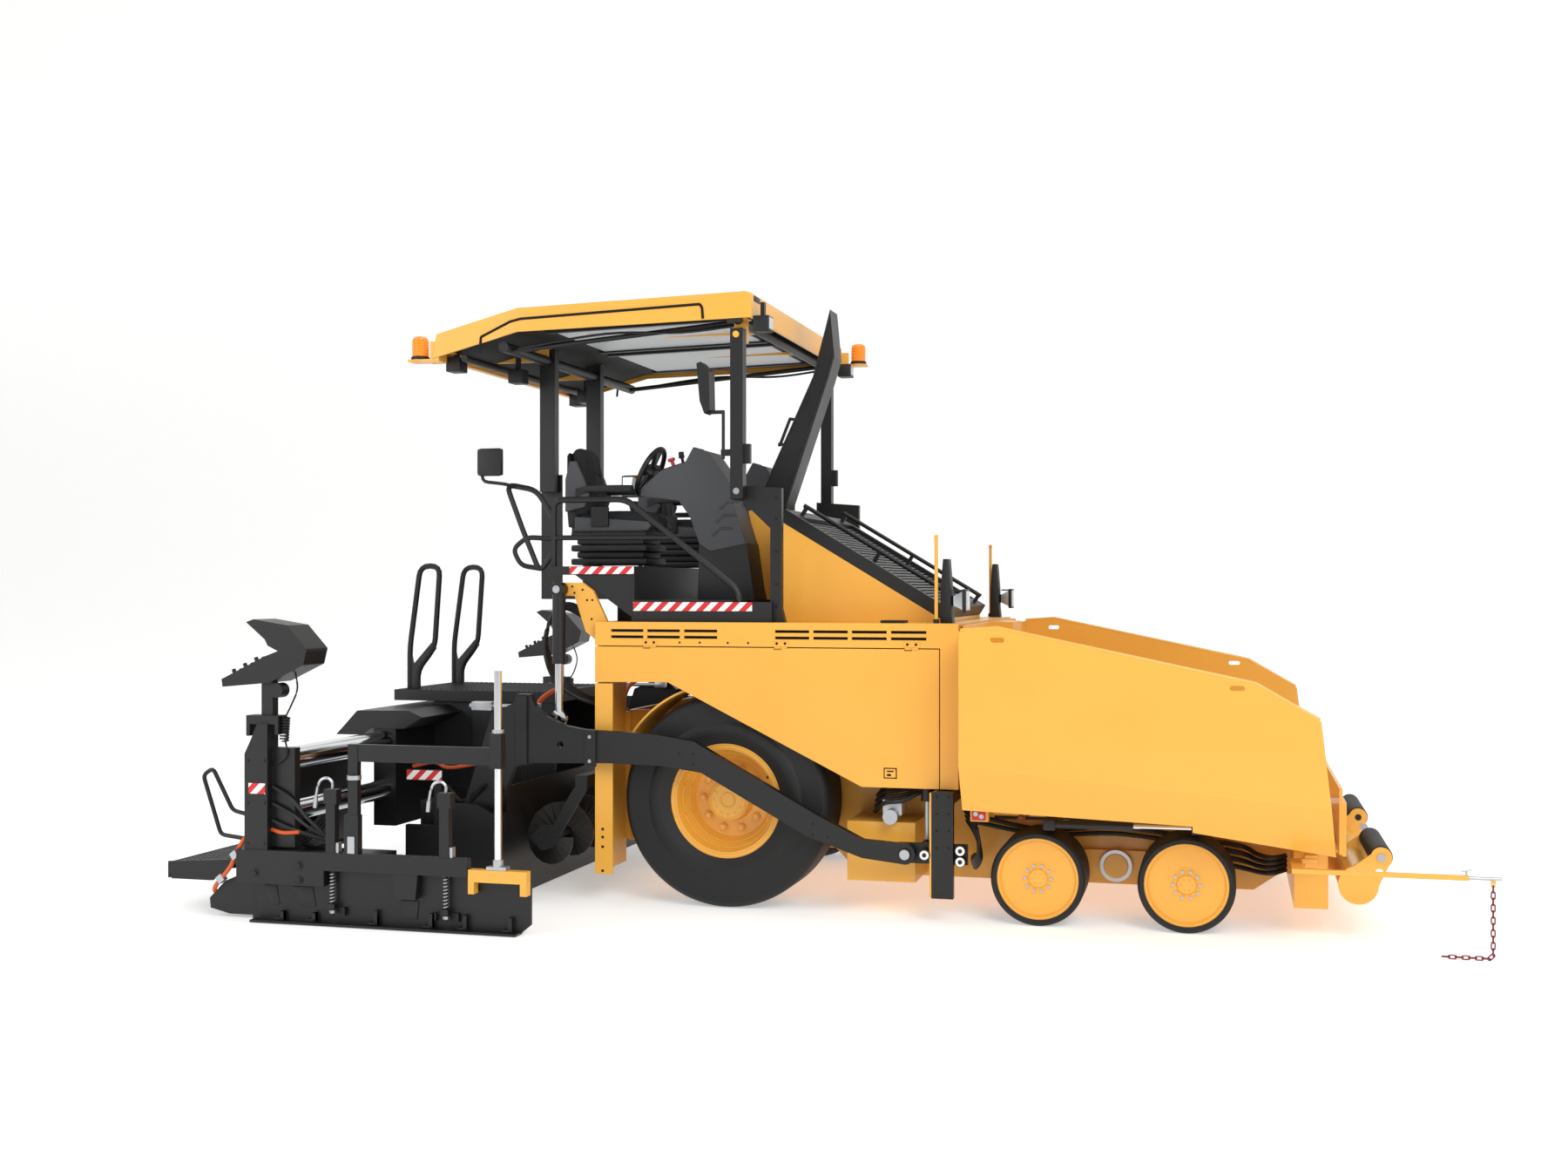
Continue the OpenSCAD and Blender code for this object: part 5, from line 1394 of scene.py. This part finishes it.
    def _gate(self, side: int, name: str) -> None:
        """Makes the hooks and the tapered ribs on an end gate's outer face.

        Args:
            side: One for the left, minus one for the right.
            name: The side's name.
        """
        face = self.gate_plate
        hooks = Shape()
        for x in (-2.40, -2.19, -1.79, -1.44, -1.225, -0.945):
            tall = 0.068 if x < -2.1 else 0.10
            hooks.box((x - 0.012, side * face, 0.018), (x + 0.012, side * (face + 0.034), tall), 0.004)
            hooks.box((x - 0.042, side * face, 0.018), (x, side * (face + 0.04), 0.032), 0.003)
        for a, b in ((-2.53, -2.45), (-2.34, -2.21)):
            hooks.prism([(a, 0.215), (b, 0.215), (b + 0.02, 0.1), (a + 0.05, 0.1)], side * face,
                        side * (face + 0.005), 0.001)
        for x in self.rods:
            start = max(x - 0.075, self.deep_beam + 0.008)
            hooks.box((start, side * face, 0.098), (x + 0.075, side * (face + 0.011), 0.106), 0.002)
            for end in (-0.075, 0.067)[x < -2:]:
                hooks.box((x + end, side * face, 0.06), (x + end + 0.008, side * (face + 0.03), 0.106), 0.002)
        hooks.build(f"gate_hooks_{name}", BLACK, f"end_gate_{name}")

    def _rear_wall(self, side: int, name: str) -> None:
        """Makes the wall behind an extension's tubes, with its ribs, rail, bolts and hoses.

        Args:
            side: One for the left, minus one for the right.
            name: The side's name.
        """
        body = f"extension_{name}"
        low, high = sorted((side * 1.0, side * 2.182))
        wall = Shape().box((-2.622, low, 0.31), (-2.606, high, 0.875), 0.003)
        wall.box((-2.64, low, 0.862), (-2.60, high, 0.882), 0.004)
        wall.box((-2.65, low, 0.30), (-2.60, high, 0.33), 0.004)
        for k in range(5):
            y = low + 0.06 + (high - low - 0.12) * k / 4
            wall.box((-2.648, y - 0.012, 0.32), (-2.62, y + 0.012, 0.866), 0.003)
        wall.build(f"extension_wall_{name}", BLACK, body)
        place = facing(-2.6225, (low + high) / 2, 0.60, (-1, 0, 0))
        FASTENERS.rows(body, ZINC, place, (8, 3), (0.98, 0.40), 0.009, 0.008)
        hoses = Shape()
        for k in range(4):
            z = 0.56 - 0.035 * k
            hoses.tube([(-2.47, side * 2.17, z), (-2.45, side * 2.06, z - 0.05),
                        (-2.53, side * 1.9, z - 0.11 + 0.01 * k), (-2.56, side * 1.7, z - 0.1 + 0.014 * k),
                        (-2.585, side * 1.52, z - 0.03), (-2.603, side * 1.42, z + 0.02)], 0.012, sides=8)
        hoses.build(f"extension_hoses_{name}", HOSE, body)

    def _main(self) -> None:
        """Makes the main screed's tape, crown screws, conduits, hoses and treads."""
        tape = Shape().box((-2.025, -1.4325, 0.765), (-1.785, -1.430, 0.825))
        holder = Shape().box((-2.03, -1.43, 0.76), (-1.78, -1.418, 0.83), 0.003)
        holder.box((-1.84, -1.428, 0.47), (-1.79, -1.41, 0.77))
        holder.mirrored().build("screed_tape_plate", BLACK, "screed")
        tape.mirrored().build("screed_tape", STRIPE, "screed", smooth=False)
        metal = Shape()
        metal.rod((-1.68, -1.24, 1.225), (-1.22, -1.24, 1.225), 0.014, 16)
        metal.box((-1.66, -1.268, 1.197), (-1.52, -1.212, 1.253), 0.006)
        metal.box((-1.29, -1.262, 1.203), (-1.2, -1.218, 1.247), 0.006)
        metal.mirrored().build("crown_screws", ZINC, "screed")
        orange = Shape().tube([(-1.40, -0.84, 1.15), (-1.36, -0.85, 1.24), (-1.25, -0.86, 1.31),
                               (-1.12, -0.86, 1.325)], 0.017)
        orange.tube([(-2.2, -1.0, 0.8), (-2.0, -1.1, 0.84), (-1.85, -1.2, 0.82), (-1.6, -1.3, 0.86)], 0.012)
        orange.mirrored().build("screed_main_conduit", ORANGE, "screed")
        dark = Shape()
        for k in range(4):
            dark.tube([(-2.0, -1.02 - 0.03 * k, 0.72 - 0.04 * k), (-1.85, -1.15, 0.66 - 0.04 * k),
                       (-1.7, -1.3, 0.62 - 0.02 * k), (-1.52, -1.38, 0.74)], 0.013, sides=8)
        dark.box((-1.86, -1.38, 0.40), (-1.50, -1.1, 0.55), 0.01)
        dark.box((-2.0, -1.3, 0.40), (-1.88, -1.0, 0.62), 0.01)
        dark.mirrored().build("screed_hoses", HOSE, "screed")
        FASTENERS.rows("screed", BLACK, facing(-2.02, 0, 1.271, (0, 0, 1)), (30, 24), (1.12, 0.9), 0.012, 0.005, 8)


@dataclass
class Hood:
    """Caps on the deck beside the hood, and the stack's folds and bolts."""

    stack_half: float = 0.11
    stack_edges: tuple[tuple[tuple[float, float], tuple[float, float]], ...] = (
        ((-0.13, 2.462), (0.302, 3.39)),
        ((0.302, 3.39), (0.408, 3.79)),
        ((0.078, 2.462), (0.392, 3.385)),
        ((0.392, 3.385), (0.436, 3.53)),
    )

    def build(self) -> None:
        """Makes the hood's pieces."""
        pad = Shape().box((0.98, -1.2, 1.766), (1.13, -1.08, 1.782), 0.004)
        pad.mirrored().build("deck_caps", SATIN, "tractor")
        strip = Shape()
        for a, b in self.stack_edges:
            strip.rod((a[0], -self.stack_half, a[1]), (b[0], -self.stack_half, b[1]), 0.007, 8)
        strip.mirrored().build("stack_edge_folds", BLACK, "tractor")
        for side in SIDES:
            edge = [(-0.095 + 0.085 * k, side * self.stack_half, 2.49 + 0.183 * k) for k in range(5)]
            edge += [(0.075 + 0.066 * k, side * self.stack_half, 2.53 + 0.193 * k) for k in range(5)]
            FASTENERS.dots("tractor", SATIN, edge, (0, side, 0), 0.011, 0.012, 6)


@dataclass
class Studio:
    """Camera, lights, floor and world."""

    camera: tuple[float, float, float] = (2.989, -11.12, 1.976)
    yaw: float = 14.72
    lens: float = 38.6
    sensor: float = 36.0
    sweep_start: float = 9.0
    sweep: float = 9.0
    paper_glow: float = 0.44
    sky: float = 0.42
    aim: tuple[float, float, float] = (0.0, 0.0, 1.4)
    lamps: tuple[tuple[str, Point, float, float], ...] = (
        ("key", (5.5, -9.5, 7.5), 6.0, 660),
        ("fill", (-8.0, -8.0, 5.0), 6.0, 270),
        ("top", (0.0, 1.0, 10.0), 8.0, 210),
    )

    def build(self) -> None:
        """Sets the stage as in the photograph."""
        scene = bpy.context.scene
        scene.view_settings.view_transform = "Standard"
        scene.view_settings.look = "None"
        eye = bpy.data.cameras.new("camera")
        eye.lens = self.lens
        eye.sensor_width = self.sensor
        eye.clip_end = 200
        holder = bpy.data.objects.new("camera", eye)
        holder.location = AXLE + Vector(self.camera)
        holder.rotation_euler = (math.radians(90), 0, math.radians(self.yaw))
        scene.collection.objects.link(holder)
        scene.camera = holder
        self._floor()
        self._lights()

    def _floor(self) -> None:
        """Lays a pale floor that sweeps up into the backdrop."""
        profile = [(-40.0, 0.0), (self.sweep_start, 0.0)]
        for k in range(1, 13):
            turn = math.radians(7.5 * k)
            profile.append((self.sweep_start + self.sweep * math.sin(turn), self.sweep * (1 - math.cos(turn))))
        profile.append((self.sweep_start + self.sweep, 60.0))
        made = bmesh.new()
        lines = [[made.verts.new((x, y, z - 0.002)) for x in (-90.0, 90.0)] for y, z in profile]
        for one, two in zip(lines, lines[1:]):
            made.faces.new((one[0], one[1], two[1], two[0]))
        data = bpy.data.meshes.new("floor")
        made.to_mesh(data)
        made.free()
        data.shade_smooth()
        floor = bpy.data.objects.new("floor", data)
        data.materials.append(Finish("studio paper", "stage", "#f6f6f5", 0.8, glow=self.paper_glow).material())
        bpy.context.scene.collection.objects.link(floor)

    def _lights(self) -> None:
        """Sets the world's light and three soft lamps."""
        world = bpy.data.worlds.new("studio")
        bpy.context.scene.world = world
        world.use_nodes = True
        back = world.node_tree.nodes["Background"]
        back.inputs["Color"].default_value = linear("#ffffff")
        back.inputs["Strength"].default_value = self.sky
        for name, place, size, power in self.lamps:
            lamp = bpy.data.lights.new(name, "AREA")
            lamp.size = size
            lamp.energy = power
            made = bpy.data.objects.new(name, lamp)
            made.location = place
            made.rotation_euler = (Vector(self.aim) - Vector(place)).to_track_quat("-Z", "Y").to_euler()
            bpy.context.scene.collection.objects.link(made)


def paint_frame() -> None:
    """Gives every CAD node the finish of its material slot."""
    slots = {part["node"]: part["material_slot"] for part in frame["record"]["subparts"]}
    for name, node in frame["nodes"].items():
        node.data.materials.clear()
        node.data.materials.append(SLOT_FINISH[slots[name]].material())


def main() -> None:
    """Builds the paver's looks and its studio."""
    logging.basicConfig(level=logging.INFO)
    paint_frame()
    kinds = (Canopy, OperatorStation, BodySides, TowGear, RunningGear, Hopper, Chain, ScreedDress, Hood)
    for kind in kinds:
        LOG.info("building %s", kind.__name__)
        kind().build()
    FASTENERS.build()
    Studio().build()


if __name__ == "__main__":
    main()
